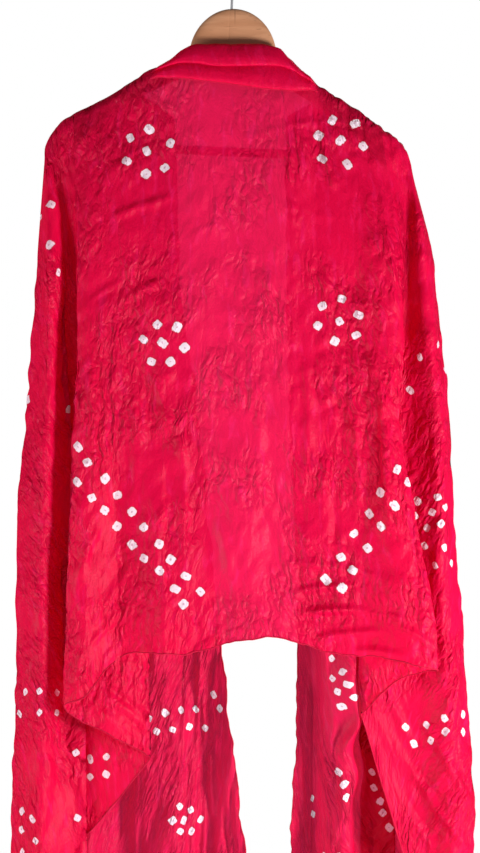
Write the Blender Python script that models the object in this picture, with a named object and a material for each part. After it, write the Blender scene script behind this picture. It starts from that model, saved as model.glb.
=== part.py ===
"""Bandhani cloth, draped like a shawl round a wooden clothes hanger.

Metres, +Z up. The origin is the inside top of the hook, where the rail carries it.
The back of the shawl, with its rolled collar, faces -Y. Both ends hang down at +Y.
"""

import math
from collections import namedtuple

import bmesh
import bpy
import numpy as np
from mathutils import Matrix, Vector

# Hanger
HOOK_INNER_RADIUS = 0.020
HOOK_WIRE = 0.0030
HOOK_FROM_DEG = -50
HOOK_TO_DEG = 205
STEM_ABOVE_WOOD = 0.016
STEM_BEND_PULL = 0.008
WOOD_TOP_Z = -0.070
SHANK_DEPTH = 0.020
HANGER_TILT = math.radians(2.5)
HALF_SPAN = 0.220
DOME_HALF_WIDTH = 0.050
DOME_DROP = 0.060
ARM_DROP_AT_CENTRE = 0.0250
ARM_SLOPE = 0.580
ARM_HEIGHT = 0.021
CENTRE_EXTRA_HEIGHT = 0.015
END_EXTRA_HEIGHT = 0.025
DEEPENS_FROM_X = 0.120
DEEPENS_TO_X = 0.195
END_RADIUS = 0.023
WOOD_HALF_THICKNESS = 0.006
END_EXTRA_HALF_THICKNESS = 0.007
THICKENS_FROM_X = 0.080
THICKENS_TO_X = 0.210
NECK_FILLET = 0.006
FORWARD_BEND = 0.024
BAR_RADIUS = 0.0055
BAR_DROP = 0.169
BAR_HALF_LENGTH = 0.182
SEAT_GAP = 0.0003

# Cloth
SHEET_THICKNESS = 0.0012
EDGE_CLEARANCE = 0.0034
RIDGE_CLEARANCE = 0.0018
RIGHT_TIP_LOOSENESS = 0.006
ROLL_RADIUS = 0.003
THINNEST_WRAP = 0.0001
NECK_X = 0.110
# Below the arm, the free edges of the front panels run close beside the neck.
NECK_EDGE_Z = -0.200
NECK_EDGE_X = {-1: 0.0745, 1: 0.0640}
NECK_EDGE_COLUMNS = 3
NECK_EDGE_STARTS = 0.010
FIRST_FOLD_X = 0.188
FIRST_FOLD_COLUMN = 7
SIDE_COLUMNS = 24
TIGHT_TURNS = (6.5, 7.5, 11.5, 12.5, 13.5, 15.5, 16.5)
CENTRE_COLUMNS = 12
STATION_Z = (-0.36, -0.60, -0.85, -1.09)
TOP_ROWS = (0.0, 0.001, 0.003, 0.008, 0.016, 0.030, 0.055)
LOWER_ROWS = 12

# A fold line of the cloth, from the ridge to the hem: its column on the ridge, its place x, y
# at each of the heights in STATION_Z, and the height of its hem. x is from the hook outwards.
Fold = namedtuple("Fold", "name column x36 x60 x85 x109 y36 y60 y85 y109 hem")

LEFT_BACK = (
    Fold("neck", 0, 0.083, 0.086, 0.083, 0.083, -0.024, -0.034, -0.042, -0.042, -0.860),
    Fold("shallow dip", 3, 0.132, 0.138, 0.140, 0.140, -0.026, -0.026, -0.030, -0.030, -0.888),
    Fold("side swell", 5, 0.168, 0.174, 0.177, 0.177, -0.026, -0.040, -0.050, -0.050, -0.907),
    Fold("panel edge", 7, 0.189, 0.196, 0.203, 0.203, -0.020, -0.034, -0.042, -0.042, -0.922),
    Fold("return", 9, 0.191, 0.172, 0.152, 0.150, -0.012, -0.024, -0.030, -0.030, -0.947),
    Fold("inner tip", 12, 0.194, 0.144, 0.103, 0.098, -0.006, -0.012, -0.018, -0.018, -0.980),
    Fold("second return", 14, 0.198, 0.177, 0.159, 0.162, -0.001, -0.002, -0.004, -0.004, -1.053),
    Fold("hidden back", 15, 0.201, 0.196, 0.189, 0.190, 0.002, 0.003, 0.004, 0.004, -1.087),
    Fold("hidden fold", 16, 0.206, 0.210, 0.212, 0.212, 0.002, 0.002, 0.001, 0.001, -1.125),
    Fold("column edge", 18, 0.208, 0.198, 0.191, 0.188, -0.006, -0.012, -0.014, -0.014, -1.161),
    Fold("column face", 21, 0.225, 0.230, 0.233, 0.233, -0.018, -0.028, -0.034, -0.034, -1.240),
    Fold("outer edge", 24, 0.242, 0.259, 0.270, 0.275, 0.012, 0.008, 0.004, 0.004, -1.343),
)
LEFT_FRONT = (
    Fold("free edge", 0, 0.068, 0.041, 0.016, -0.013, 0.028, 0.032, 0.036, 0.034, -1.167),
    Fold("edge swell", 5, 0.092, 0.075, 0.051, 0.035, 0.038, 0.048, 0.058, 0.060, -1.222),
    Fold("inner dip", 9, 0.116, 0.106, 0.094, 0.087, 0.036, 0.032, 0.034, 0.036, -1.276),
    Fold("middle swell", 13, 0.148, 0.145, 0.140, 0.138, 0.046, 0.058, 0.066, 0.068, -1.325),
    Fold("outer dip", 17, 0.186, 0.186, 0.184, 0.182, 0.044, 0.034, 0.032, 0.032, -1.355),
    Fold("corner", 21, 0.226, 0.237, 0.242, 0.244, 0.042, 0.046, 0.052, 0.054, -1.373),
    Fold("outer edge", 24, 0.242, 0.259, 0.270, 0.275, 0.012, 0.008, 0.004, 0.004, -1.343),
)
RIGHT_BACK = (
    Fold("neck", 0, 0.099, 0.102, 0.107, 0.107, -0.022, -0.028, -0.030, -0.030, -0.847),
    Fold("shallow dip", 3, 0.143, 0.148, 0.160, 0.160, -0.024, -0.030, -0.036, -0.036, -0.853),
    Fold("side swell", 5, 0.177, 0.184, 0.211, 0.211, -0.027, -0.042, -0.052, -0.052, -0.860),
    Fold("panel edge", 7, 0.196, 0.205, 0.244, 0.246, -0.020, -0.035, -0.044, -0.044, -0.869),
    Fold("return", 10, 0.201, 0.186, 0.203, 0.203, -0.010, -0.022, -0.028, -0.028, -0.878),
    Fold("inner tip", 13, 0.206, 0.169, 0.155, 0.155, -0.003, -0.008, -0.014, -0.014, -0.898),
    Fold("second return", 17, 0.213, 0.206, 0.218, 0.225, 0.002, 0.001, -0.003, -0.005, -1.077),
    Fold("column face", 21, 0.230, 0.247, 0.259, 0.269, -0.010, -0.018, -0.022, -0.022, -1.186),
    Fold("outer edge", 24, 0.242, 0.264, 0.282, 0.294, 0.012, 0.008, 0.004, 0.004, -1.319),
)
RIGHT_FRONT = (
    Fold("free edge", 0, 0.065, 0.071, 0.079, 0.070, 0.028, 0.032, 0.036, 0.034, -1.167),
    Fold("edge swell", 4, 0.094, 0.099, 0.102, 0.099, 0.038, 0.044, 0.048, 0.048, -1.216),
    Fold("pleat left", 7, 0.116, 0.116, 0.115, 0.114, 0.037, 0.026, 0.008, 0.006, -1.252),
    Fold("pleat face", 9, 0.128, 0.131, 0.132, 0.133, 0.036, 0.020, 0.000, -0.003, -1.270),
    Fold("pleat right", 11, 0.140, 0.145, 0.149, 0.150, 0.038, 0.026, 0.008, 0.006, -1.288),
    Fold("middle swell", 14, 0.156, 0.160, 0.160, 0.160, 0.046, 0.050, 0.050, 0.050, -1.319),
    Fold("outer dip", 17, 0.183, 0.191, 0.196, 0.201, 0.044, 0.034, 0.034, 0.034, -1.343),
    Fold("corner", 21, 0.223, 0.240, 0.249, 0.257, 0.042, 0.048, 0.054, 0.056, -1.361),
    Fold("outer edge", 24, 0.242, 0.264, 0.282, 0.294, 0.012, 0.008, 0.004, 0.004, -1.319),
)
# The middle of the back. Here x is signed, and the neck rows of both sides close the table.
CENTRE_BACK = (
    Fold("left ripple", 3, -0.035, -0.035, -0.031, -0.031, -0.028, -0.028, -0.032, -0.032, -0.845),
    Fold("middle ripple", 6, 0.011, 0.011, 0.016, 0.016, -0.024, -0.033, -0.038, -0.038, -0.831),
    Fold("right ripple", 9, 0.056, 0.057, 0.060, 0.060, -0.029, -0.027, -0.031, -0.031, -0.832),
)

# The rolled collar, left to right along its top fold: the place of the fold, then the lower
# edges of the upper and of the lower band.
Collar = namedtuple("Collar", "column x y top upper_band lower_band")
COLLAR = (
    Collar(1, -0.092, -0.0100, -0.1385, -0.1435, -0.1525),
    Collar(2, -0.078, -0.0120, -0.1310, -0.1390, -0.1535),
    Collar(3, -0.062, -0.0145, -0.1185, -0.1362, -0.1547),
    Collar(4, -0.046, -0.016, -0.1125, -0.1368, -0.1567),
    Collar(5, -0.022, -0.016, -0.1132, -0.1400, -0.1588),
    Collar(6, 0.008, -0.016, -0.1135, -0.1402, -0.1630),
    Collar(7, 0.034, -0.016, -0.1135, -0.1392, -0.1668),
    Collar(8, 0.054, -0.015, -0.1165, -0.1402, -0.1688),
    Collar(9, 0.068, -0.0140, -0.1310, -0.1440, -0.1698),
    Collar(10, 0.082, -0.0125, -0.1440, -0.1520, -0.1690),
    Collar(11, 0.093, -0.0110, -0.1515, -0.1575, -0.1680),
)

# Down the collar's outside: the shares of the upper and lower band gone, and how far out it is.
Bulge = namedtuple("Bulge", "upper lower out")
COLLAR_BULGE = (
    Bulge(0.25, 0.00, 0.0035),
    Bulge(0.50, 0.00, 0.0068),
    Bulge(0.80, 0.00, 0.0076),
    Bulge(1.00, 0.00, 0.0058),
    Bulge(1.00, 0.15, 0.0042),
    Bulge(1.00, 0.50, 0.0060),
    Bulge(1.00, 0.85, 0.0062),
    Bulge(1.00, 1.00, 0.0044),
)


def clear_scene():
    for obj in list(bpy.data.objects):
        bpy.data.objects.remove(obj)


def material(name, colour, roughness, metallic=0.0):
    made = bpy.data.materials.new(name)
    made.use_nodes = True
    shader = made.node_tree.nodes["Principled BSDF"]
    shader.inputs["Base Color"].default_value = (*colour, 1.0)
    shader.inputs["Roughness"].default_value = roughness
    shader.inputs["Metallic"].default_value = metallic
    return made


def add_object(name, mesh, finish):
    obj = bpy.data.objects.new(name, mesh)
    bpy.context.scene.collection.objects.link(obj)
    mesh.materials.append(finish)
    return obj


def smoothstep(low, high, value):
    share = min(max((value - low) / (high - low), 0.0), 1.0)
    return share * share * (3 - 2 * share)


def hang(point):
    """A point of the level hanger, moved to where the tilted hanger has it."""
    return Matrix.Rotation(HANGER_TILT, 3, "Y") @ (Vector(point) + Vector((0, 0, WOOD_TOP_Z)))


# Wooden yoke. Its own frame has its top at z = 0.


def arm_line(x):
    return -(ARM_DROP_AT_CENTRE + ARM_SLOPE * abs(x))


def end_rounding(x):
    past = abs(x) - (HALF_SPAN - END_RADIUS)
    return END_RADIUS - math.sqrt(END_RADIUS**2 - past**2) if past > 0 else 0.0


def yoke_top(x):
    """The neck's dome, blended into the sloping arm."""
    share = min(abs(x) / DOME_HALF_WIDTH, 1.0)
    dome = -DOME_DROP * (1 - math.sqrt(1 - share * share)) - (share == 1.0)
    near = max(NECK_FILLET - abs(dome - arm_line(x)), 0.0) / NECK_FILLET
    return max(dome, arm_line(x)) + near * near * NECK_FILLET / 4 - end_rounding(x)


def yoke_bottom(x):
    height = ARM_HEIGHT + CENTRE_EXTRA_HEIGHT * math.exp(-((x / DOME_HALF_WIDTH) ** 2))
    height += END_EXTRA_HEIGHT * smoothstep(DEEPENS_FROM_X, DEEPENS_TO_X, abs(x))
    return arm_line(x) - height + end_rounding(x)


def half_thickness(x):
    thicker = smoothstep(THICKENS_FROM_X, THICKENS_TO_X, abs(x))
    full = WOOD_HALF_THICKNESS + END_EXTRA_HALF_THICKNESS * thicker
    past = max(abs(x) - (HALF_SPAN - END_RADIUS), 0.0) / END_RADIUS
    return full * max(1 - past * past, 0.0) ** 0.45


def forward(x):
    return FORWARD_BEND * (x / HALF_SPAN) ** 2


def section_ring(x, squareness=2.6, points=12):
    """A rounded section of the yoke across the grain at x."""
    low, high = yoke_bottom(x), yoke_top(x)
    ring = []
    for i in range(points):
        angle = 2 * math.pi * (i + 0.5) / points
        c, s = math.cos(angle), math.sin(angle)
        y = half_thickness(x) * math.copysign(abs(c) ** (2 / squareness), c)
        z = (high - low) / 2 * math.copysign(abs(s) ** (2 / squareness), s)
        ring.append((x, forward(x) + y, (high + low) / 2 + z))
    return ring


def yoke_stations():
    """Places along the arm, closer together on the dome and at the rounded ends."""
    dome = [0.0, 0.012, 0.024, 0.033, 0.040, 0.045, 0.048, 0.052, 0.058]
    arm = [0.070, 0.090, 0.110, 0.130, 0.150, 0.165, 0.180, 0.192]
    end = [HALF_SPAN - END_RADIUS * (1 - math.sin(a)) for a in np.linspace(0, 1.5, 7)]
    half = dome + arm + end
    return [-x for x in reversed(half[1:])] + half


def bmesh_to(name, finish, bm):
    bmesh.ops.recalc_face_normals(bm, faces=bm.faces)
    mesh = bpy.data.meshes.new(name)
    bm.to_mesh(mesh)
    bm.free()
    mesh.shade_smooth()
    mesh.set_sharp_from_angle(angle=math.radians(40))
    return add_object(name, mesh, finish)


def cutter(name, radius, start, end):
    """A round cutter from start to end, hidden from renders."""
    axis = end - start
    bm = bmesh.new()
    turn = axis.to_track_quat("Z", "Y").to_matrix().to_4x4()
    place = Matrix.Translation((start + end) / 2) @ turn
    bmesh.ops.create_cone(
        bm, cap_ends=True, segments=24, radius1=radius, radius2=radius,
        depth=axis.length, matrix=place,
    )
    mesh = bpy.data.meshes.new(name)
    bm.to_mesh(mesh)
    bm.free()
    obj = bpy.data.objects.new(name, mesh)
    bpy.context.scene.collection.objects.link(obj)
    obj.hide_render = True
    obj.display_type = "WIRE"
    return obj


def cut(obj, tool):
    modifier = obj.modifiers.new(tool.name, "BOOLEAN")
    modifier.operation = "DIFFERENCE"
    modifier.object = tool


def bar_ends(half_length):
    height = -BAR_DROP
    depth = forward(BAR_HALF_LENGTH)
    return [hang((side * half_length, depth, height)) for side in (-1, 1)]


def build_yoke(finish):
    bm = bmesh.new()
    rings = [[bm.verts.new(hang(p)) for p in section_ring(x)] for x in yoke_stations()]
    for near, far in zip(rings, rings[1:]):
        for i in range(len(near)):
            j = (i + 1) % len(near)
            bm.faces.new((near[i], near[j], far[j], far[i]))
    bm.faces.new(rings[0])
    bm.faces.new(rings[-1])
    yoke = bmesh_to("hanger_yoke", finish, bm)
    left, right = bar_ends(BAR_HALF_LENGTH + SEAT_GAP)
    cut(yoke, cutter("bar_socket", BAR_RADIUS + SEAT_GAP, left, right))
    top = hang((0, 0, 0.01))
    foot = hang((0, 0, -SHANK_DEPTH - SEAT_GAP))
    cut(yoke, cutter("shank_hole", HOOK_WIRE / 2 + SEAT_GAP, foot, top))


def build_bar(finish):
    left, right = bar_ends(BAR_HALF_LENGTH)
    bm = bmesh.new()
    axis = right - left
    turn = axis.to_track_quat("Z", "Y").to_matrix().to_4x4()
    bmesh.ops.create_cone(
        bm, cap_ends=True, segments=20, radius1=BAR_RADIUS, radius2=BAR_RADIUS,
        depth=axis.length, matrix=Matrix.Translation((left + right) / 2) @ turn,
    )
    bmesh_to("hanger_bar", finish, bm)


def hook_line():
    """The middle of the wire: shank, sideways swing, round hook."""
    radius = HOOK_INNER_RADIUS + HOOK_WIRE / 2
    centre = Vector((0, 0, -HOOK_INNER_RADIUS))
    angles = np.radians(np.linspace(HOOK_FROM_DEG, HOOK_TO_DEG, 22))
    arc = [centre + radius * Vector((math.cos(a), 0, math.sin(a))) for a in angles]
    foot = Vector((0, 0, WOOD_TOP_Z - SHANK_DEPTH))
    bend = Vector((0, 0, WOOD_TOP_Z + STEM_ABOVE_WOOD))
    along = Vector((-math.sin(angles[0]), 0, math.cos(angles[0])))
    swing = []
    for t in np.linspace(0, 1, 8)[:-1]:
        a, b = bend, bend + Vector((0, 0, STEM_BEND_PULL))
        c, d = arc[0] - along * STEM_BEND_PULL, arc[0]
        u = 1 - t
        swing.append(a * u**3 + b * (3 * u * u * t) + c * (3 * u * t * t) + d * t**3)
    return [foot, *swing, *arc]


def build_hook(finish):
    line = [Matrix.Rotation(HANGER_TILT, 3, "Y") @ p for p in hook_line()]
    curve = bpy.data.curves.new("hanger_hook", "CURVE")
    curve.dimensions = "3D"
    curve.bevel_depth = HOOK_WIRE / 2
    curve.bevel_resolution = 2
    curve.use_fill_caps = True
    spline = curve.splines.new("POLY")
    spline.points.add(len(line) - 1)
    for point, place in zip(spline.points, line):
        point.co = (*place, 1)
    add_object("hanger_hook", curve, finish)


# Cloth


def through(places, values, at):
    """A smooth curve through values, with no overshoot, read at one place or several."""
    places = np.asarray(places, float)
    values = np.asarray(values, float)
    step = np.diff(places)
    slope = np.diff(values) / step
    tangent = np.zeros(len(places))
    tangent[0], tangent[-1] = slope[0], slope[-1]
    for i in range(1, len(places) - 1):
        if slope[i - 1] * slope[i] > 0:
            a = 2 * step[i] + step[i - 1]
            b = step[i] + 2 * step[i - 1]
            tangent[i] = (a + b) / (a / slope[i - 1] + b / slope[i])
    at = np.clip(at, places[0], places[-1])
    i = np.clip(np.searchsorted(places, at, side="right") - 1, 0, len(step) - 1)
    t = (at - places[i]) / step[i]
    h00, h10 = (1 + 2 * t) * (1 - t) ** 2, t * (1 - t) ** 2
    h01, h11 = t * t * (3 - 2 * t), t * t * (t - 1)
    return (
        h00 * values[i] + h10 * step[i] * tangent[i]
        + h01 * values[i + 1] + h11 * step[i] * tangent[i + 1]
    )


def loose(places, values, at):
    """A rounder curve through values, which may swing past them a little, as a fold does."""
    places = np.asarray(places, float)
    values = np.asarray(values, float)
    tangent = np.gradient(values, places)
    i = int(np.clip(np.searchsorted(places, at, side="right") - 1, 0, len(places) - 2))
    step = places[i + 1] - places[i]
    t = (at - places[i]) / step
    return (
        (1 + 2 * t) * (1 - t) ** 2 * values[i] + t * (1 - t) ** 2 * step * tangent[i]
        + t * t * (3 - 2 * t) * values[i + 1] + t * t * (t - 1) * step * tangent[i + 1]
    )


def stations(folds, column, side):
    """x and y at the four heights, and the hem, of the cloth at one column."""
    at = [f.column for f in folds]
    x = [side * loose(at, [getattr(f, n) for f in folds], column) for n in Fold._fields[2:6]]
    y = [loose(at, [getattr(f, n) for f in folds], column) for n in Fold._fields[6:10]]
    return x, y, loose(at, [f.hem for f in folds], column)


def ridge(column, side):
    """Where the cloth crosses the arm at a column, and how far it stands off there in y."""
    straight_end = HALF_SPAN - END_RADIUS
    loose_tip = RIGHT_TIP_LOOSENESS if side > 0 else 0.0
    reach = END_RADIUS + EDGE_CLEARANCE
    line_length = straight_end - FIRST_FOLD_X
    path_length = line_length + reach * math.pi / 2
    if column <= FIRST_FOLD_COLUMN:
        x = NECK_X + (FIRST_FOLD_X - NECK_X) * column / FIRST_FOLD_COLUMN
        gone = 0.0
    else:
        share = (column - FIRST_FOLD_COLUMN) / (SIDE_COLUMNS - FIRST_FOLD_COLUMN)
        gone = share * path_length
        x = min(FIRST_FOLD_X + gone, straight_end)
    turn = max(gone - line_length, 0.0) / reach
    standoff = (half_thickness(min(x, straight_end)) + EDGE_CLEARANCE) * math.cos(turn) ** 0.6
    if turn > 0:
        x = straight_end + (reach + loose_tip) * math.sin(turn)
        wood_x = straight_end + END_RADIUS * math.sin(turn)
        z = yoke_top(wood_x) + RIDGE_CLEARANCE * math.cos(turn)
    else:
        z = yoke_top(x) + RIDGE_CLEARANCE
    return hang((side * x, forward(min(x, HALF_SPAN)), z)), standoff


def bar_station(wrap_end, top, first_y, over_bar, y):
    """Heights and y down a column. In front the cloth lies over the round bar."""
    levels = [-z for z in (wrap_end, *STATION_Z)]
    depths = [first_y] + y
    bar_z = hang((top.x, 0, -BAR_DROP)).z
    if not over_bar or abs(top.x) > FIRST_FOLD_X:
        return levels, depths
    between = first_y + (y[0] - first_y) * (wrap_end - bar_z) / (wrap_end - STATION_Z[0])
    clear = forward(BAR_HALF_LENGTH) + BAR_RADIUS + EDGE_CLEARANCE
    return [levels[0], -bar_z] + levels[1:], [first_y, max(between, clear)] + y


def neck_edge(levels, across, column, side):
    """Heights and x down a front column, drawn in towards the neck near the free edge."""
    if column >= NECK_EDGE_COLUMNS:
        return levels, across
    free = float(through(levels, across, -NECK_EDGE_Z))
    pull = (1 - column / NECK_EDGE_COLUMNS) ** 2
    drawn = free + (side * NECK_EDGE_X[side] - free) * pull
    levels = [levels[0], levels[0] + NECK_EDGE_STARTS, -NECK_EDGE_Z] + levels[1:]
    return levels, [across[0], across[0], drawn] + across[1:]


def column_path(top, standoff, face, x, y, hem, front_column=None):
    """The cloth from the ridge down to its hem. face is -1 at the back and 1 in front."""
    lower = np.linspace(TOP_ROWS[-1], top.z - hem, LOWER_ROWS + 1)[1:]
    heights = top.z - np.array([*TOP_ROWS, *lower])
    wrap_end = top.z - max(standoff, THINNEST_WRAP)
    levels, across = [-top.z] + [-z for z in STATION_Z], [top.x] + x
    if front_column is not None:
        levels, across = neck_edge(levels, across, front_column, 1 if top.x > 0 else -1)
    xs = through(levels, across, -heights)
    over_bar = front_column is not None
    levels, depths = bar_station(wrap_end, top, top.y + face * standoff, over_bar, y)
    ys = through(levels, depths, -heights)
    over = heights > wrap_end
    rise = np.clip((heights - wrap_end) / (top.z - wrap_end), 0, 1)
    ys = np.where(over, top.y + face * standoff * np.sqrt(1 - rise**2), ys)
    return [Vector(p) for p in zip(xs, ys, heights)]


def side_paths(folds, side, face):
    paths = []
    for column in sorted((*range(SIDE_COLUMNS + 1), *TIGHT_TURNS)):
        top, standoff = ridge(column, side)
        fall = stations(folds, column, side)
        paths.append(column_path(top, standoff, face, *fall, column if face > 0 else None))
    return paths


def mirrored(fold, column):
    """A left neck row written with signed x, for the table of the middle."""
    return fold._replace(column=column, x36=-fold.x36, x60=-fold.x60, x85=-fold.x85, x109=-fold.x109)


def centre_paths():
    """The back between the two neck sides, hanging from the inside of the rolled collar."""
    last = RIGHT_BACK[0]._replace(column=CENTRE_COLUMNS)
    folds = (mirrored(LEFT_BACK[0], 0), *CENTRE_BACK, last)
    paths = []
    for row in COLLAR:
        top = Vector((row.x, row.y, row.top))
        roll = ROLL_RADIUS * math.sin(math.pi * row.column / CENTRE_COLUMNS)
        paths.append(column_path(top, roll, 1, *stations(folds, row.column, 1)))
    return paths


def collar_profile(row):
    """The collar's outside, from its top fold down: a fuller upper band, a crease, a lower one."""
    upper = row.top - row.upper_band
    lower = row.upper_band - row.lower_band
    drops = [p.upper * upper + p.lower * lower for p in COLLAR_BULGE]
    drops[0] = min(drops[0], ROLL_RADIUS)
    places = zip(COLLAR_BULGE, drops)
    return [Vector((row.x, row.y - p.out, row.top - drop)) for p, drop in places]


def add_strip(bm, near, far):
    """Faces between two neighbouring columns of vertices."""
    for i in range(len(near) - 1):
        bm.faces.new((near[i], far[i], far[i + 1], near[i + 1]))


def add_side(bm, back_folds, front_folds, side):
    """One side of the shawl. Back and front share the ridge, and meet at the outer edge."""
    back = [[bm.verts.new(p) for p in path] for path in side_paths(back_folds, side, -1)]
    front = []
    for column, path in enumerate(side_paths(front_folds, side, 1)[:-1]):
        front.append([back[column][0]] + [bm.verts.new(p) for p in path[1:]])
    front.append(back[-1])
    for columns in (back, front):
        for near, far in zip(columns, columns[1:]):
            add_strip(bm, near, far)
    return back[0]


def build_cloth(finish):
    bm = bmesh.new()
    left = add_side(bm, LEFT_BACK, LEFT_FRONT, -1)
    right = add_side(bm, RIGHT_BACK, RIGHT_FRONT, 1)
    centre = [[bm.verts.new(p) for p in path] for path in centre_paths()]
    for near, far in zip(centre, centre[1:]):
        add_strip(bm, near, far)
    # The collar's two ends join the shoulders just below the arm's top, where the fold begins.
    add_strip(bm, left[1:], centre[0][1:])
    add_strip(bm, centre[-1][1:], right[1:])
    bands = [
        [column[0]] + [bm.verts.new(p) for p in collar_profile(row)]
        for column, row in zip(centre, COLLAR)
    ]
    for near, far in zip(bands, bands[1:]):
        add_strip(bm, near, far)
    cloth = bmesh_to("bandhani_cloth", finish, bm)
    solidify = cloth.modifiers.new("sheet thickness", "SOLIDIFY")
    solidify.thickness = SHEET_THICKNESS
    solidify.offset = 0


def main():
    clear_scene()
    wood = material("beech wood", (0.50, 0.24, 0.13), 0.45)
    steel = material("bright steel", (0.62, 0.62, 0.64), 0.25, metallic=1.0)
    silk = material("red bandhani silk", (0.62, 0.012, 0.055), 0.6)
    build_yoke(wood)
    build_bar(wood)
    build_hook(steel)
    build_cloth(silk)


main()
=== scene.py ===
"""A bandhani cloth, draped like a shawl round a wooden clothes hanger, dressed for its pictures.

The cloth is one thin sheet. Its main folds follow the same tables as the solids, then it gets
its creases, its crinkle, its tied dots and its narrow rolled hem. The hanger gets its grain.
Metres, +Z up. The back of the shawl faces -Y, and the origin is the inside top of the hook.
"""

import logging
import math
from collections import namedtuple
from dataclasses import dataclass
from enum import Enum
from typing import Sequence

import bpy
import numpy as np
from mathutils import Matrix, Vector, noise


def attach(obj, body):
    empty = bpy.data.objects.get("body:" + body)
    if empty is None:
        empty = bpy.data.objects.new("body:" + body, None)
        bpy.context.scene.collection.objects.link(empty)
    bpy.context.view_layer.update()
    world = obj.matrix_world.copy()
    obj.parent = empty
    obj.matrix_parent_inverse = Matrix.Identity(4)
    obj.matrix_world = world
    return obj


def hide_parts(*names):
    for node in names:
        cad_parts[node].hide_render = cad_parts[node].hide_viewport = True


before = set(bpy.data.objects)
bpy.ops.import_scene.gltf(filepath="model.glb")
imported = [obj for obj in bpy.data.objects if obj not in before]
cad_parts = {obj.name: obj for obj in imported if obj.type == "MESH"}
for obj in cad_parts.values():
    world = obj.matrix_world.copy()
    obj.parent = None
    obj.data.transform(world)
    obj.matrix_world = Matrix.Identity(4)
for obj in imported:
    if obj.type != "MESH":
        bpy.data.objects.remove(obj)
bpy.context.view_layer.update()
LOG = logging.getLogger("bandhani")

BODY = "root"
HANGER_TILT = math.radians(2.5)
WOOD_TOP_Z = -0.070
DETAIL = 1.0


# Shared curves


def through(places: Sequence[float], values: Sequence[float], at: np.ndarray) -> np.ndarray:
    """Reads a smooth curve that never swings past its values.

    Args:
        places: rising places of the known values.
        values: the value at each place.
        at: the places to read.

    Returns:
        The curve's value at each place in at.
    """
    places = np.asarray(places, float)
    values = np.asarray(values, float)
    step = np.diff(places)
    slope = np.diff(values) / step
    tangent = np.zeros(len(places))
    tangent[0], tangent[-1] = slope[0], slope[-1]
    for i in range(1, len(places) - 1):
        if slope[i - 1] * slope[i] > 0:
            a = 2 * step[i] + step[i - 1]
            b = step[i] + 2 * step[i - 1]
            tangent[i] = (a + b) / (a / slope[i - 1] + b / slope[i])
    return hermite(places, values, tangent, at)


def loose(places: Sequence[float], values: Sequence[float], at: np.ndarray) -> np.ndarray:
    """Reads a rounder curve, which may swing past its values a little, as a fold does.

    Args:
        places: rising places of the known values.
        values: the value at each place.
        at: the places to read.

    Returns:
        The curve's value at each place in at.
    """
    places = np.asarray(places, float)
    values = np.asarray(values, float)
    return hermite(places, values, np.gradient(values, places), at)


def hermite(places: np.ndarray, values: np.ndarray, tangent: np.ndarray, at: np.ndarray) -> np.ndarray:
    """Reads a cubic curve with a given tangent at each known place.

    Args:
        places: rising places of the known values.
        values: the value at each place.
        tangent: the slope at each place.
        at: the places to read, held inside the known range.

    Returns:
        The curve's value at each place in at.
    """
    at = np.clip(np.asarray(at, float), places[0], places[-1])
    i = np.clip(np.searchsorted(places, at, side="right") - 1, 0, len(places) - 2)
    step = (places[1:] - places[:-1])[i]
    t = (at - places[i]) / step
    return (
        (1 + 2 * t) * (1 - t) ** 2 * values[i]
        + t * (1 - t) ** 2 * step * tangent[i]
        + t * t * (3 - 2 * t) * values[i + 1]
        + t * t * (t - 1) * step * tangent[i + 1]
    )


def smoothstep(low: float, high: float, value: np.ndarray) -> np.ndarray:
    """Rises softly from 0 at low to 1 at high."""
    share = np.clip((np.asarray(value, float) - low) / (high - low), 0.0, 1.0)
    return share * share * (3 - 2 * share)


def new_mesh(name: str, points: np.ndarray, faces: Sequence[Sequence[int]]) -> bpy.types.Object:
    """Makes a smooth-shaded mesh object in the scene.

    Args:
        name: the object's name.
        points: one row x, y, z for each vertex.
        faces: vertex numbers of each face.

    Returns:
        The new object.
    """
    mesh = bpy.data.meshes.new(name)
    mesh.from_pydata([tuple(p) for p in points], [], [tuple(int(i) for i in f) for f in faces])
    mesh.validate()
    mesh.shade_smooth()
    obj = bpy.data.objects.new(name, mesh)
    bpy.context.scene.collection.objects.link(obj)
    return obj


def tube(name: str, line: np.ndarray, radius: np.ndarray, sides: int) -> bpy.types.Object:
    """Makes a closed round tube along a line of points.

    Args:
        name: the object's name.
        line: the points along the tube's middle.
        radius: the radius at each point.
        sides: faces round the tube.

    Returns:
        The new object.
    """
    along = np.gradient(line, axis=0)
    along /= np.linalg.norm(along, axis=1, keepdims=True)
    across = np.zeros_like(along)
    start = np.cross(along[0], (0.3, 0.9, 0.2))
    across[0] = start / np.linalg.norm(start)
    for i in range(1, len(line)):
        turned = across[i - 1] - along[i] * np.dot(across[i - 1], along[i])
        across[i] = turned / np.linalg.norm(turned)
    other = np.cross(along, across)
    rings = []
    for i in range(sides):
        angle = 2 * math.pi * i / sides
        rings.append(line + radius[:, None] * (math.cos(angle) * across + math.sin(angle) * other))
    points = np.stack(rings, axis=1).reshape(-1, 3)
    faces = []
    for row in range(len(line) - 1):
        for i in range(sides):
            j = (i + 1) % sides
            a, b = row * sides, (row + 1) * sides
            faces.append((a + i, a + j, b + j, b + i))
    faces.append(tuple(range(sides))[::-1])
    faces.append(tuple((len(line) - 1) * sides + i for i in range(sides)))
    return new_mesh(name, points, faces)


# Finishes


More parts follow.
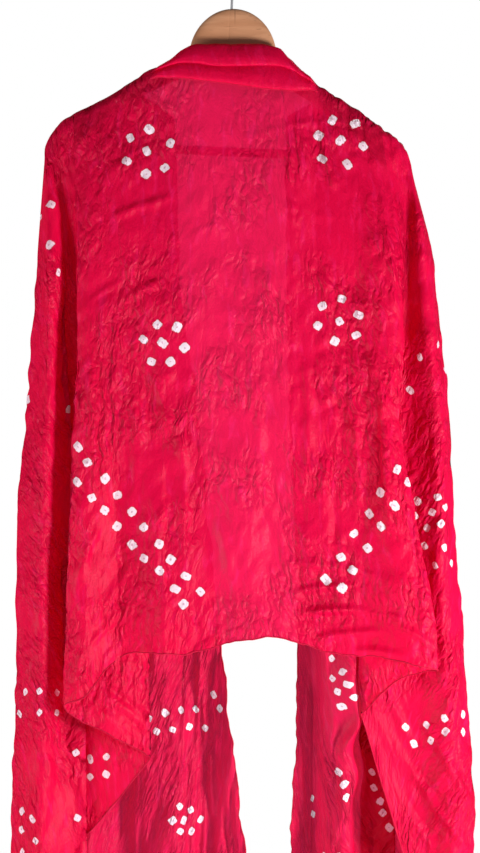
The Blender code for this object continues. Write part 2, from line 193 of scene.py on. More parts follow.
@dataclass(frozen=True)
class NodeKit:
    """Short ways to write a material's nodes."""

    tree: bpy.types.NodeTree

    def add(self, kind: str, **settings: object) -> bpy.types.Node:
        """Adds a node and sets its properties.

        Args:
            kind: the node's type without its ShaderNode prefix.
            settings: properties of the node.

        Returns:
            The new node.
        """
        node = self.tree.nodes.new("ShaderNode" + kind)
        for name, value in settings.items():
            setattr(node, name, value)
        return node

    def link(self, source: bpy.types.NodeSocket, target: bpy.types.NodeSocket) -> None:
        """Joins two sockets."""
        self.tree.links.new(source, target)

    def feed(self, node: bpy.types.Node, slot: str | int, value: object) -> None:
        """Sets an input from a number, a tuple or another node's socket."""
        if isinstance(value, bpy.types.NodeSocket):
            self.link(value, node.inputs[slot])
        else:
            node.inputs[slot].default_value = value

    def maths(self, operation: str, *values: object) -> bpy.types.NodeSocket:
        """Adds a Math node.

        Args:
            operation: the node's operation, such as ADD.
            values: its inputs, numbers or sockets.

        Returns:
            The node's result.
        """
        node = self.add("Math", operation=operation)
        for i, value in enumerate(values):
            self.feed(node, i, value)
        return node.outputs[0]

    def blend(self, share: object, a: object, b: object, how: str = "MIX") -> bpy.types.NodeSocket:
        """Mixes two colours.

        Args:
            share: how much of b, or of the blend, to take.
            a: the first colour.
            b: the second colour.
            how: the blend type.

        Returns:
            The mixed colour.
        """
        node = self.add("Mix", data_type="RGBA", blend_type=how)
        self.feed(node, 0, share)
        self.feed(node, 6, a)
        self.feed(node, 7, b)
        return node.outputs[2]

    def ramp(self, value: object, stops: Sequence[tuple[float, float]]) -> bpy.types.NodeSocket:
        """Maps a value through a grey ramp.

        Args:
            value: the socket to map.
            stops: place and brightness of each stop.

        Returns:
            The mapped value.
        """
        node = self.add("ValToRGB")
        node.color_ramp.interpolation = "EASE"
        points = node.color_ramp.elements
        while len(points) < len(stops):
            points.new(0.5)
        for point, (place, level) in zip(points, stops):
            point.position = place
            point.color = (level, level, level, 1)
        self.feed(node, 0, value)
        return node.outputs[0]

    def noise(self, where: object, scale: float, detail: float = 2.0,
              warp: float = 0.0) -> bpy.types.NodeSocket:
        """Reads a noise texture.

        Args:
            where: the coordinate to read it at.
            scale: how many lumps to the metre.
            detail: how many finer layers it has.
            warp: how far the texture twists itself.

        Returns:
            The noise, from 0 to 1.
        """
        node = self.add("TexNoise")
        self.feed(node, "Vector", where)
        node.inputs["Scale"].default_value = scale
        node.inputs["Detail"].default_value = detail
        node.inputs["Distortion"].default_value = warp
        return node.outputs["Fac"]

    def warp(self, where: object, scale: float, amount: float) -> bpy.types.NodeSocket:
        """Bends a coordinate by a noise, so that what is read there wanders.

        Args:
            where: the coordinate.
            scale: how many bends to the metre.
            amount: how far it is moved, in metres.

        Returns:
            The new coordinate.
        """
        bend = self.add("TexNoise")
        self.feed(bend, "Vector", where)
        bend.inputs["Scale"].default_value = scale
        away = self.add("VectorMath", operation="SUBTRACT")
        self.link(bend.outputs["Color"], away.inputs[0])
        away.inputs[1].default_value = (0.5, 0.5, 0.5)
        grown = self.add("VectorMath", operation="SCALE")
        self.link(away.outputs[0], grown.inputs[0])
        grown.inputs["Scale"].default_value = amount
        moved = self.add("VectorMath", operation="ADD")
        self.feed(moved, 0, where)
        self.link(grown.outputs[0], moved.inputs[1])
        return moved.outputs[0]

    def facets(self, where: object, scale: float) -> bpy.types.NodeSocket:
        """Reads a net of flat facets between sharp folds.

        Args:
            where: the coordinate to read it at.
            scale: how many facets to the metre.

        Returns:
            The height above the nearest fold, as a share of a facet's width.
        """
        node = self.add("TexVoronoi", feature="DISTANCE_TO_EDGE")
        self.feed(node, "Vector", where)
        node.inputs["Scale"].default_value = scale
        return node.outputs["Distance"]

    def stretch(self, where: object, scale: tuple[float, float, float],
                turn: float = 0.0) -> bpy.types.NodeSocket:
        """Scales and turns a coordinate.

        Args:
            where: the coordinate.
            scale: factor along each axis.
            turn: turn about the third axis, in radians.

        Returns:
            The new coordinate.
        """
        node = self.add("Mapping")
        self.feed(node, "Vector", where)
        node.inputs["Scale"].default_value = scale
        node.inputs["Rotation"].default_value = (0, 0, turn)
        return node.outputs[0]


def blank_material(name: str) -> tuple[bpy.types.Material, NodeKit, bpy.types.Node]:
    """Makes an empty node material.

    Args:
        name: the material's name.

    Returns:
        The material, its node kit and its output node.
    """
    made = bpy.data.materials.new(name)
    made.use_nodes = True
    made.node_tree.nodes.clear()
    kit = NodeKit(made.node_tree)
    return made, kit, kit.add("OutputMaterial")


@dataclass(frozen=True)
class SheerSilk:
    """Crinkled, sheer, tie-dyed silk. Light passes through it, tinted by the dye."""

    name: str = "crimson bandhani silk"
    face: tuple[float, float, float, float] = (0.80, 0.0018, 0.066, 1)
    glow: tuple[float, float, float, float] = (0.86, 0.0022, 0.074, 1)
    # ridge: painted highlight, the pale pink of a sheen, laid on in noise streaks
    ridge: tuple[float, float, float, float] = (0.94, 0.0120, 0.145, 1)
    # crease: painted shade on the crinkle's fold lines; the lines are also less sheer, as folded silk is
    # thicker
    crease: tuple[float, float, float, float] = (0.42, 0.0008, 0.022, 1)
    tint: tuple[float, float, float, float] = (0.80, 0.044, 0.150, 1)
    undyed: tuple[float, float, float, float] = (0.93, 0.84, 0.94, 1)
    dot_rim: tuple[float, float, float, float] = (0.36, 0.004, 0.030, 1)
    tie_mark: tuple[float, float, float, float] = (0.48, 0.16, 0.30, 1)
    sheer: float = 0.15
    dot_sheer: float = 0.07
    glow_share: float = 0.40
    roughness: float = 0.46
    grain_height: float = 0.0004
    fold_nets: tuple[tuple[float, ...], ...] = (
        (0.10, 42.0, 0.46, 0.14), (0.34, 78.0, 0.44, 0.42), (-0.48, 132.0, 0.46, 0.45),
    )
    # How strongly the fold lines get painted shade and lose sheerness.
    crease_shade_strength: float = 0.85
    # Stretch and size of the noise streaks that carry the painted highlight.
    highlight_stretch: tuple[float, float, float] = (1.0, 0.3, 1.0)
    highlight_scale: float = 95.0
    grain_scale: float = 380.0
    patch_scale: float = 9.0
    wander_scale: float = 34.0
    wander_reach: float = 0.020
    specular: float = 0.12
    squareness: float = 3.4
    ragged_scale: float = 260.0
    ragged_reach: float = 0.0030
    rim_share: float = 0.35
    mark_share: float = 0.55
    # shaded: painted shade, laid over the wood, just under the collar and on the fronts
    shaded: tuple[float, float, float, float] = (0.36, 0.0030, 0.024, 1)
    shade_strength: float = 0.80
    dot_radius: float = 0.0056

    def dots(self, kit: NodeKit) -> tuple[bpy.types.NodeSocket, ...]:
        """Draws one tied dot round the place that the dot map gives.

        Args:
            kit: the material's node kit.

        Returns:
            Shares of undyed cloth, of dark rim and of the tie's mark.
        """
        place = kit.add("UVMap", uv_map="dots")
        cloth = kit.add("UVMap", uv_map="cloth")
        split = kit.add("SeparateXYZ")
        kit.link(place.outputs[0], split.inputs[0])
        x = kit.maths("POWER", kit.maths("ABSOLUTE", split.outputs[0]), self.squareness)
        y = kit.maths("POWER", kit.maths("ABSOLUTE", split.outputs[1]), self.squareness)
        away = kit.maths("POWER", kit.maths("ADD", x, y), 1 / self.squareness)
        ragged = kit.maths("SUBTRACT", kit.noise(cloth.outputs[0], self.ragged_scale, 2.0), 0.5)
        away = kit.maths("ADD", away, kit.maths("MULTIPLY", ragged, self.ragged_reach))
        scaled = kit.maths("DIVIDE", away, self.dot_radius * 2)
        pale = kit.ramp(scaled, ((0.0, 1), (0.44, 1), (0.54, 0)))
        rim = kit.ramp(scaled, ((0.44, 0), (0.53, 1), (0.66, 0)))
        fleck = kit.maths("ADD", scaled, kit.maths("MULTIPLY", ragged, 0.16))
        mark = kit.ramp(fleck, ((0.0, 1), (0.055, 1), (0.13, 0)))
        return pale, rim, mark

    def crinkle(self, kit: NodeKit,
                calm: bpy.types.NodeSocket) -> tuple[bpy.types.NodeSocket, bpy.types.NodeSocket]:
        """Draws the fine crush marks of the silk: nets of sharp folds, one finer than the other.

        Args:
            kit: the material's node kit.
            calm: how much smoother than elsewhere the cloth is, from 0 to 1.

        Returns:
            The height of the crinkle in metres, and its fold lines from 0 to 1.
        """
        cloth = kit.add("UVMap", uv_map="cloth").outputs[0]
        wandering = kit.warp(cloth, self.wander_scale, self.wander_reach)
        patchy = kit.ramp(kit.noise(cloth, self.patch_scale, 2.0), ((0.38, 0.12), (0.62, 1.0)))
        patchy = kit.maths("MULTIPLY", patchy, kit.maths("SUBTRACT", 1.0, calm))
        height = kit.maths("MULTIPLY", kit.noise(cloth, self.grain_scale, 1.0, 0.4), self.grain_height)
        lines = 0.0
        for turn, facets, slope, stretch in self.fold_nets:
            turned = kit.stretch(wandering, (1.0, stretch, 1.0), turn)
            above = kit.facets(turned, facets)
            rise = kit.maths("MULTIPLY", above, patchy)
            height = kit.maths("MULTIPLY_ADD", rise, slope / facets, height)
            line = kit.maths("MULTIPLY", kit.ramp(above, ((0.0, 1), (0.045, 0.5), (0.11, 0))), patchy)
            lines = kit.maths("MAXIMUM", lines, kit.maths("MULTIPLY", line, slope))
        return height, lines

    def build(self) -> bpy.types.Material:
        """Builds the node material."""
        made, kit, output = blank_material(self.name)
        pale, rim, mark = self.dots(kit)
        # The map's first channel is smoothness, its second is painted shade.
        calm_and_shade = kit.add("SeparateXYZ")
        kit.link(kit.add("UVMap", uv_map="calm_and_shade").outputs[0], calm_and_shade.inputs[0])
        height, lines = self.crinkle(kit, calm_and_shade.outputs[0])
        # Painted shade from the map's second channel darkens the dye towards the shaded colour.
        shade = kit.maths("MULTIPLY", calm_and_shade.outputs[1], self.shade_strength)
        # Painted shade darkens the crinkle's fold lines towards the crease colour; the same lines also let
        # less light through.
        dark = kit.maths("MULTIPLY", lines, self.crease_shade_strength)
        cloth = kit.add("UVMap", uv_map="cloth").outputs[0]
        # Painted highlight: noise streaks pale the dye towards the ridge colour, as a sheen would.
        highlight_streaks = kit.noise(kit.stretch(cloth, self.highlight_stretch), self.highlight_scale, 3.0, 0.8)
        bright = kit.ramp(highlight_streaks, ((0.52, 0), (0.74, 0.6)))
        colours = []
        for base in (self.face, self.glow):
            dyed = kit.blend(bright, base, self.ridge)
            dyed = kit.blend(dark, dyed, self.crease)
            dyed = kit.blend(shade, dyed, self.shaded)
            dyed = kit.blend(kit.maths("MULTIPLY", rim, self.rim_share), dyed, self.dot_rim)
            dyed = kit.blend(pale, dyed, self.undyed)
            colours.append(kit.blend(kit.maths("MULTIPLY", mark, self.mark_share), dyed, self.tie_mark))
        bump = kit.add("Bump")
        bump.inputs["Strength"].default_value = 1.0
        bump.inputs["Distance"].default_value = 1.0
        kit.link(height, bump.inputs["Height"])
        front = kit.add("BsdfPrincipled")
        kit.link(colours[0], front.inputs["Base Color"])
        front.inputs["Roughness"].default_value = self.roughness
        front.inputs["Specular IOR Level"].default_value = self.specular
        kit.link(bump.outputs[0], front.inputs["Normal"])
        glow = kit.add("BsdfTranslucent")
        kit.link(colours[1], glow.inputs["Color"])
        kit.link(bump.outputs[0], glow.inputs["Normal"])
        solid = kit.add("MixShader")
        solid.inputs[0].default_value = self.glow_share
        kit.link(front.outputs[0], solid.inputs[1])
        kit.link(glow.outputs[0], solid.inputs[2])
        clear = kit.add("BsdfTransparent")
        kit.link(kit.blend(pale, self.tint, self.undyed), clear.inputs["Color"])
        whole = kit.add("MixShader")
        open_share = kit.maths("MULTIPLY_ADD", dark, -0.5 * self.sheer, self.sheer)
        less = kit.maths("MULTIPLY_ADD", pale, self.dot_sheer - self.sheer, open_share)
        kit.link(kit.maths("MAXIMUM", less, 0.0), whole.inputs[0])
        kit.link(solid.outputs[0], whole.inputs[1])
        kit.link(clear.outputs[0], whole.inputs[2])
        kit.link(whole.outputs[0], output.inputs[0])
        return made


@dataclass(frozen=True)
class HemFinish:
    """The rolled hem: several layers of the same silk, so it is darker and not sheer. Its colour is also
    darkened as painted shade, for the thin shadow under the collar's bands.
    """

    name: str = "rolled silk hem"
    # colour: the hem's own darker silk, darkened further as painted shade under the collar's bands
    colour: tuple[float, float, float, float] = (0.30, 0.0016, 0.018, 1)
    worn: tuple[float, float, float, float] = (0.50, 0.0050, 0.040, 1)
    roughness: float = 0.7

    def build(self) -> bpy.types.Material:
        """Builds the node material."""
        made, kit, output = blank_material(self.name)
        where = kit.add("TexCoord").outputs["Object"]
        shader = kit.add("BsdfPrincipled")
        kit.link(kit.blend(kit.noise(where, 160.0, 3.0), self.colour, self.worn), shader.inputs["Base Color"])
        shader.inputs["Roughness"].default_value = self.roughness
        shader.inputs["Specular IOR Level"].default_value = 0.1
        bump = kit.add("Bump")
        bump.inputs["Distance"].default_value = 0.0004
        kit.link(kit.noise(where, 700.0, 2.0), bump.inputs["Height"])
        kit.link(bump.outputs[0], shader.inputs["Normal"])
        kit.link(shader.outputs[0], output.inputs[0])
        return made


@dataclass(frozen=True)
class VarnishedBeech:
    """Plain beech under a thin satin varnish, with its grain along the arms."""

    name: str = "varnished beech"
    light: tuple[float, float, float, float] = (0.57, 0.275, 0.145, 1)
    dark: tuple[float, float, float, float] = (0.47, 0.208, 0.102, 1)
    pore: tuple[float, float, float, float] = (0.20, 0.075, 0.032, 1)
    roughness: float = 0.42
    seam_place: float = 0.0012
    seam_half_width: float = 0.0009
    seam_foot: float = -0.092
    seam_length: float = 0.020

    def build(self) -> bpy.types.Material:
        """Builds the node material."""
        made, kit, output = blank_material(self.name)
        where = kit.add("TexCoord").outputs["Object"]
        bands = kit.noise(kit.stretch(where, (1.0, 7.0, 9.0)), 9.0, 3.0, 0.7)
        flecks = kit.noise(kit.stretch(where, (1.0, 12.0, 12.0)), 60.0, 2.0)
        colour = kit.blend(kit.ramp(bands, ((0.35, 0), (0.7, 1))), self.light, self.dark)
        colour = kit.blend(kit.ramp(flecks, ((0.60, 0), (0.78, 0.5))), colour, self.pore)
        split = kit.add("SeparateXYZ")
        kit.link(where, split.inputs[0])
        beside = kit.maths("ABSOLUTE", kit.maths("SUBTRACT", split.outputs[0], self.seam_place))
        seam = kit.ramp(kit.maths("MULTIPLY", beside, 1 / self.seam_half_width), ((0.4, 1), (1.0, 0)))
        above = kit.maths("SUBTRACT", split.outputs[2], self.seam_foot)
        fading = kit.ramp(kit.maths("MULTIPLY", above, 1 / self.seam_length), ((0.0, 0), (1.0, 0.6)))
        colour = kit.blend(kit.maths("MULTIPLY", seam, fading), colour, self.pore)
        shader = kit.add("BsdfPrincipled")
        kit.link(colour, shader.inputs["Base Color"])
        shader.inputs["Roughness"].default_value = self.roughness
        shader.inputs["Coat Weight"].default_value = 0.25
        shader.inputs["Coat Roughness"].default_value = 0.3
        bump = kit.add("Bump")
        bump.inputs["Distance"].default_value = 0.0002
        kit.link(flecks, bump.inputs["Height"])
        kit.link(bump.outputs[0], shader.inputs["Normal"])
        kit.link(shader.outputs[0], output.inputs[0])
        return made


@dataclass(frozen=True)
class BrightSteel:
    """Drawn steel wire with a bright plated finish."""

    name: str = "bright steel wire"
    colour: tuple[float, float, float, float] = (0.55, 0.55, 0.57, 1)
    roughness: float = 0.30

    def build(self) -> bpy.types.Material:
        """Builds the node material."""
        made, kit, output = blank_material(self.name)
        where = kit.add("TexCoord").outputs["Object"]
        shader = kit.add("BsdfPrincipled")
        shader.inputs["Base Color"].default_value = self.colour
        shader.inputs["Metallic"].default_value = 0.6
        drawn = kit.noise(kit.stretch(where, (6.0, 6.0, 1.0)), 120.0, 2.0)
        kit.link(kit.maths("MULTIPLY_ADD", drawn, 0.16, self.roughness - 0.08), shader.inputs["Roughness"])
        kit.link(shader.outputs[0], output.inputs[0])
        return made


# Hanger


@dataclass
class ClothesHanger:
    """The plain wooden hanger: yoke, round bar and wire hook. Sizes are the solids' own."""

    half_span: float = 0.220
    dome_half_width: float = 0.0535
    dome_drop: float = 0.060
    arm_drop: float = 0.0250
    arm_slope: float = 0.580
    arm_height: float = 0.021
    centre_extra_height: float = 0.015
    end_extra_height: float = 0.025
    deepens: tuple[float, float] = (0.120, 0.195)
    end_radius: float = 0.023
    half_thick: float = 0.006
    end_extra_thick: float = 0.007
    thickens: tuple[float, float] = (0.080, 0.210)
    neck_fillet: float = 0.006
    forward_bend: float = 0.024
    bar_radius: float = 0.0055
    bar_drop: float = 0.169
    bar_half_length: float = 0.182
    seam_groove: float = 0.0003
    seam_x: float = -0.0022
    dome_shift: float = 0.0040
    dome_rise: float = 0.0032

    def arm_line(self, x: np.ndarray) -> np.ndarray:
        """The straight top line of the arms, below the wood's top."""
        return -(self.arm_drop + self.arm_slope * np.abs(x))

    def end_rounding(self, x: np.ndarray) -> np.ndarray:
        """How far the rounded ends fall away from the arm's lines."""
        past = np.clip(np.abs(x) - (self.half_span - self.end_radius), 0, self.end_radius)
        return self.end_radius - np.sqrt(self.end_radius**2 - past**2)

    def top(self, x: np.ndarray) -> np.ndarray:
        """The upper outline: the neck's dome blended into the sloping arms."""
        share = np.clip(np.abs(x - self.dome_shift) / self.dome_half_width, 0, 1)
        dome = self.dome_rise - self.dome_drop * (1 - np.sqrt(1 - share * share)) - (share == 1.0)
        arm = self.arm_line(x)
        near = np.clip(self.neck_fillet - np.abs(dome - arm), 0, None) / self.neck_fillet
        return np.maximum(dome, arm) + near * near * self.neck_fillet / 4 - self.end_rounding(x)

    def bottom(self, x: np.ndarray) -> np.ndarray:
        """The lower outline."""
        height = self.arm_height + self.centre_extra_height * np.exp(-((x / self.dome_half_width) ** 2))
        height = height + self.end_extra_height * smoothstep(*self.deepens, np.abs(x))
        return self.arm_line(x) - height + self.end_rounding(x)

    def half_thickness(self, x: np.ndarray) -> np.ndarray:
        """Half the wood's thickness, thicker towards the shoulders and rounded at the ends."""
        full = self.half_thick + self.end_extra_thick * smoothstep(*self.thickens, np.abs(x))
        past = np.clip(np.abs(x) - (self.half_span - self.end_radius), 0, None) / self.end_radius
        return full * np.clip(1 - past * past, 0, None) ** 0.45

    def forward(self, x: np.ndarray) -> np.ndarray:
        """How far the arms bend forward."""
        return self.forward_bend * (x / self.half_span) ** 2

    def hang(self, points: np.ndarray) -> np.ndarray:
        """Moves points of the level hanger to where the tilted one has them."""
        turn = np.array(Matrix.Rotation(HANGER_TILT, 3, "Y"))
        return (np.asarray(points, float) + (0, 0, WOOD_TOP_Z)) @ turn.T

    def build_yoke(self, finish: bpy.types.Material) -> bpy.types.Object:
        """Builds the wooden arms with the fine seam where their two halves are joined.

        Args:
            finish: the wood.

        Returns:
            The yoke.
        """
        dome = self.dome_half_width * np.sin(np.linspace(0, math.pi / 2, 22))
        arm = np.linspace(self.dome_half_width, self.half_span - self.end_radius, 30)[1:]
        end = self.half_span - self.end_radius * (1 - np.sin(np.linspace(0, 1.52, 14)[1:]))
        seam = self.seam_x + 0.0007 * np.arange(-2, 3)
        reach = np.concatenate([arm + 0.006, end[end > arm[-1] + 0.006]])
        near = self.dome_shift + np.concatenate([-dome[:0:-1], dome])
        near = np.concatenate([near[np.abs(near - self.seam_x) > 0.0025], seam])
        stations = np.sort(np.concatenate([-reach, near, reach]))
        count, squareness = 40, 2.6
        angle = 2 * math.pi * (np.arange(count) + 0.5) / count
        c, s = np.cos(angle), np.sin(angle)
        round_y = np.sign(c) * np.abs(c) ** (2 / squareness)
        round_z = np.sign(s) * np.abs(s) ** (2 / squareness)
        points = []
        for x in stations:
            low, high = self.bottom(x), self.top(x)
            pinch = self.seam_groove * math.exp(-(((x - self.seam_x) / 0.0006) ** 2))
            y = self.forward(x) + (self.half_thickness(x) - pinch) * round_y
            z = (high + low) / 2 + ((high - low) / 2 - pinch) * round_z
            points.append(np.stack([np.full(count, x), y, z], axis=1))
        rows = len(stations)
        faces = [
            (r * count + i, r * count + (i + 1) % count,
             (r + 1) * count + (i + 1) % count, (r + 1) * count + i)
            for r in range(rows - 1) for i in range(count)
        ]
        faces += [tuple(range(count))[::-1], tuple((rows - 1) * count + i for i in range(count))]
        yoke = new_mesh("wooden_yoke", self.hang(np.concatenate(points)), faces)
        yoke.data.materials.append(finish)
        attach(yoke, BODY)
        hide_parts("hanger_yoke")
        return yoke

    def build_bar(self, finish: bpy.types.Material) -> bpy.types.Object:
        """Builds the round bar, a finer copy of its solid.

        Args:
            finish: the wood.

        Returns:
            The bar.
        """
        depth = float(self.forward(self.bar_half_length))
        x = np.linspace(-self.bar_half_length, self.bar_half_length, 12)
        line = np.stack([x, np.full_like(x, depth), np.full_like(x, -self.bar_drop)], axis=1)
        bar = tube("round_bar", self.hang(line), np.full(len(x), self.bar_radius), 36)
        bar.data.materials.append(finish)
        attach(bar, BODY)
        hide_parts("hanger_bar")
        return bar

    def dress_hook(self, finish: bpy.types.Material) -> bpy.types.Object:
        """Gives the hook's own solid its steel."""
        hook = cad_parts["hanger_hook"]
        hook.data.materials.clear()
        hook.data.materials.append(finish)
        hook.data.shade_smooth()
        return hook


# Cloth


# A fold line, from the ridge to the hem: its column on the ridge, its place x, y at each of four
# heights, and the height of its hem. x is from the hook outwards.
Fold = namedtuple("Fold", "name column x36 x60 x85 x109 y36 y60 y85 y109 hem")
STATION_Z = (-0.36, -0.60, -0.85, -1.09)

LEFT_BACK = (
    Fold("neck", 0, 0.083, 0.086, 0.083, 0.083, -0.024, -0.034, -0.042, -0.042, -0.850),
    Fold("shallow dip", 3, 0.132, 0.138, 0.140, 0.140, -0.026, -0.026, -0.030, -0.030, -0.857),
    Fold("side swell", 5, 0.168, 0.174, 0.177, 0.177, -0.026, -0.040, -0.050, -0.050, -0.897),
    Fold("panel edge", 7, 0.189, 0.196, 0.203, 0.203, -0.020, -0.034, -0.042, -0.042, -0.916),
    Fold("return", 9, 0.191, 0.172, 0.152, 0.150, -0.012, -0.024, -0.030, -0.030, -0.947),
    Fold("inner tip", 12, 0.194, 0.144, 0.103, 0.098, -0.006, -0.012, -0.018, -0.018, -0.980),
    Fold("second return", 14, 0.198, 0.177, 0.159, 0.162, -0.001, -0.002, -0.004, -0.004, -1.053),
    Fold("hidden back", 15, 0.201, 0.196, 0.189, 0.190, 0.002, 0.003, 0.004, 0.004, -1.087),
    Fold("hidden fold", 16, 0.206, 0.210, 0.212, 0.212, 0.002, 0.002, 0.001, 0.001, -1.125),
    Fold("dark wall", 17, 0.208, 0.196, 0.182, 0.179, 0.000, -0.001, -0.003, -0.003, -1.143),
    Fold("column edge", 18, 0.208, 0.203, 0.199, 0.193, -0.003, -0.003, -0.003, -0.004, -1.161),
    Fold("column face", 21, 0.225, 0.230, 0.233, 0.233, -0.018, -0.028, -0.034, -0.034, -1.240),
    Fold("outer edge", 24, 0.242, 0.259, 0.270, 0.275, 0.012, 0.008, 0.004, 0.004, -1.343),
)
LEFT_FRONT = (
    Fold("free edge", 0, 0.068, 0.041, 0.016, -0.013, 0.028, 0.032, 0.036, 0.034, -1.167),
    Fold("edge swell", 5, 0.092, 0.075, 0.051, 0.035, 0.038, 0.048, 0.058, 0.060, -1.222),
    Fold("inner dip", 9, 0.116, 0.106, 0.094, 0.087, 0.036, 0.032, 0.034, 0.036, -1.276),
    Fold("middle swell", 13, 0.148, 0.145, 0.140, 0.138, 0.046, 0.058, 0.066, 0.068, -1.325),
    Fold("outer dip", 17, 0.186, 0.186, 0.184, 0.182, 0.044, 0.034, 0.032, 0.032, -1.355),
    Fold("corner", 21, 0.226, 0.237, 0.242, 0.244, 0.042, 0.046, 0.052, 0.054, -1.373),
    Fold("outer edge", 24, 0.242, 0.259, 0.270, 0.275, 0.012, 0.008, 0.004, 0.004, -1.343),
)
RIGHT_BACK = (
    Fold("neck", 0, 0.099, 0.102, 0.107, 0.107, -0.022, -0.028, -0.030, -0.030, -0.847),
    Fold("shallow dip", 3, 0.143, 0.148, 0.160, 0.160, -0.024, -0.030, -0.036, -0.036, -0.853),
    Fold("side swell", 5, 0.177, 0.184, 0.211, 0.211, -0.027, -0.042, -0.052, -0.052, -0.860),
    Fold("panel edge", 7, 0.196, 0.205, 0.244, 0.246, -0.020, -0.035, -0.044, -0.044, -0.869),
    Fold("return", 10, 0.201, 0.186, 0.203, 0.203, -0.010, -0.022, -0.028, -0.028, -0.878),
    Fold("inner tip", 13, 0.206, 0.169, 0.155, 0.155, -0.003, -0.008, -0.014, -0.014, -0.925),
    Fold("second return", 17, 0.213, 0.206, 0.218, 0.225, 0.002, 0.001, -0.003, -0.005, -1.150),
    Fold("column face", 21, 0.230, 0.247, 0.259, 0.269, -0.010, -0.018, -0.022, -0.022, -1.220),
    Fold("outer edge", 24, 0.242, 0.264, 0.282, 0.294, 0.012, 0.008, 0.004, 0.004, -1.319),
)
RIGHT_FRONT = (
    Fold("free edge", 0, 0.065, 0.071, 0.079, 0.070, 0.028, 0.032, 0.036, 0.034, -1.167),
    Fold("edge swell", 4, 0.094, 0.099, 0.102, 0.099, 0.038, 0.044, 0.048, 0.048, -1.216),
    Fold("pleat left", 7, 0.116, 0.116, 0.115, 0.114, 0.037, 0.026, 0.008, 0.006, -1.252),
    Fold("pleat face", 9, 0.128, 0.131, 0.132, 0.133, 0.036, 0.020, 0.000, -0.003, -1.270),
    Fold("pleat right", 11, 0.138, 0.144, 0.149, 0.150, 0.038, 0.026, 0.006, 0.004, -1.288),
    Fold("pleat wall", 12, 0.146, 0.150, 0.152, 0.151, 0.042, 0.042, 0.044, 0.044, -1.300),
    Fold("valley out", 14, 0.158, 0.172, 0.194, 0.200, 0.046, 0.044, 0.036, 0.038, -1.319),
    Fold("valley in", 16, 0.172, 0.174, 0.160, 0.157, 0.048, 0.052, 0.050, 0.052, -1.330),
    Fold("outer dip", 18, 0.190, 0.199, 0.206, 0.212, 0.046, 0.040, 0.042, 0.042, -1.347),
    Fold("corner", 21, 0.223, 0.240, 0.249, 0.257, 0.042, 0.048, 0.054, 0.056, -1.361),
    Fold("outer edge", 24, 0.242, 0.264, 0.282, 0.294, 0.012, 0.008, 0.004, 0.004, -1.319),
)
# The middle of the back, between the two neck rows. Here x is signed.
CENTRE_BACK = (
    Fold("left ripple", 3, -0.035, -0.035, -0.031, -0.031, -0.028, -0.028, -0.032, -0.032, -0.845),
    Fold("middle ripple", 6, 0.011, 0.011, 0.016, 0.016, -0.024, -0.033, -0.038, -0.038, -0.831),
    Fold("right ripple", 9, 0.056, 0.057, 0.060, 0.060, -0.029, -0.027, -0.031, -0.031, -0.832),
)

# The rolled collar, left to right along its top fold: the place of the fold, then the lower
# edges of the upper and of the lower band.
Collar = namedtuple("Collar", "column x y top upper_band lower_band")
COLLAR = (
    Collar(1, -0.092, -0.0100, -0.1385, -0.1435, -0.1525),
    Collar(2, -0.078, -0.0120, -0.1310, -0.1390, -0.1535),
    Collar(3, -0.062, -0.0145, -0.1185, -0.1362, -0.1547),
    Collar(4, -0.046, -0.0160, -0.1125, -0.1368, -0.1567),
    Collar(5, -0.022, -0.0160, -0.1132, -0.1400, -0.1588),
    Collar(6, 0.008, -0.0160, -0.1135, -0.1402, -0.1630),
    Collar(7, 0.034, -0.0160, -0.1135, -0.1392, -0.1668),
    Collar(8, 0.054, -0.0150, -0.1165, -0.1402, -0.1688),
    Collar(9, 0.068, -0.0140, -0.1310, -0.1440, -0.1698),
    Collar(10, 0.082, -0.0125, -0.1440, -0.1520, -0.1690),
    Collar(11, 0.093, -0.0110, -0.1515, -0.1575, -0.1680),
)

# The collar's section, from its top fold down, evenly spaced along it: the share of the upper
# band, the share of the lower band, and how far it stands out. The lower band is tucked up
# behind the upper one, and the edge is turned under.
COLLAR_PROFILE = (
    (0.00, 0.00, 0.0000), (0.06, 0.00, 0.0026), (0.22, 0.00, 0.0052), (0.45, 0.00, 0.0076),
    (0.70, 0.00, 0.0090), (0.90, 0.00, 0.0088), (1.00, 0.00, 0.0072), (0.98, 0.00, 0.0052),
    (0.86, 0.00, 0.0040), (0.88, 0.00, 0.0030), (1.00, 0.04, 0.0038), (1.00, 0.22, 0.0058),
    (1.00, 0.50, 0.0074), (1.00, 0.78, 0.0076), (1.00, 0.96, 0.0064), (1.00, 0.99, 0.0046),
)


class Part(Enum):
    """The stretches of the cloth, as it is draped."""

    BACK = 0
    LEFT_RETURN = 1
    LEFT_CASCADE = 2
    LEFT_COLUMN = 3
    RIGHT_RETURN = 4
    RIGHT_COLUMN = 5
    LEFT_FRONT = 6
    RIGHT_FRONT = 7
    COLLAR = 8


@dataclass
class Sheet:
    """A grid of points of the cloth, column by column, with where each lies on the flat cloth.

    points is columns x rows x 3. flat is columns x rows x 2, in metres. part is one Part value
    for each column.
    """

    points: np.ndarray
    part: np.ndarray
    flat: np.ndarray | None = None

    def measure(self, start: float | np.ndarray, direction: int) -> None:
        """Works out where each point lies on the flat cloth, from the distances on the sheet.

        Args:
            start: the place across of the first column, one for all rows or one each.
            direction: 1 where the place across grows from column to column, -1 where it falls.
        """
        across = np.linalg.norm(np.diff(self.points, axis=0), axis=2)
        down = np.linalg.norm(np.diff(self.points, axis=1), axis=2)
        gone = np.vstack([np.zeros(across.shape[1]), np.cumsum(across, axis=0)])
        t = np.hstack([np.zeros((down.shape[0], 1)), np.cumsum(down, axis=1)])
        self.flat = np.stack([direction * gone + start, t], axis=2)


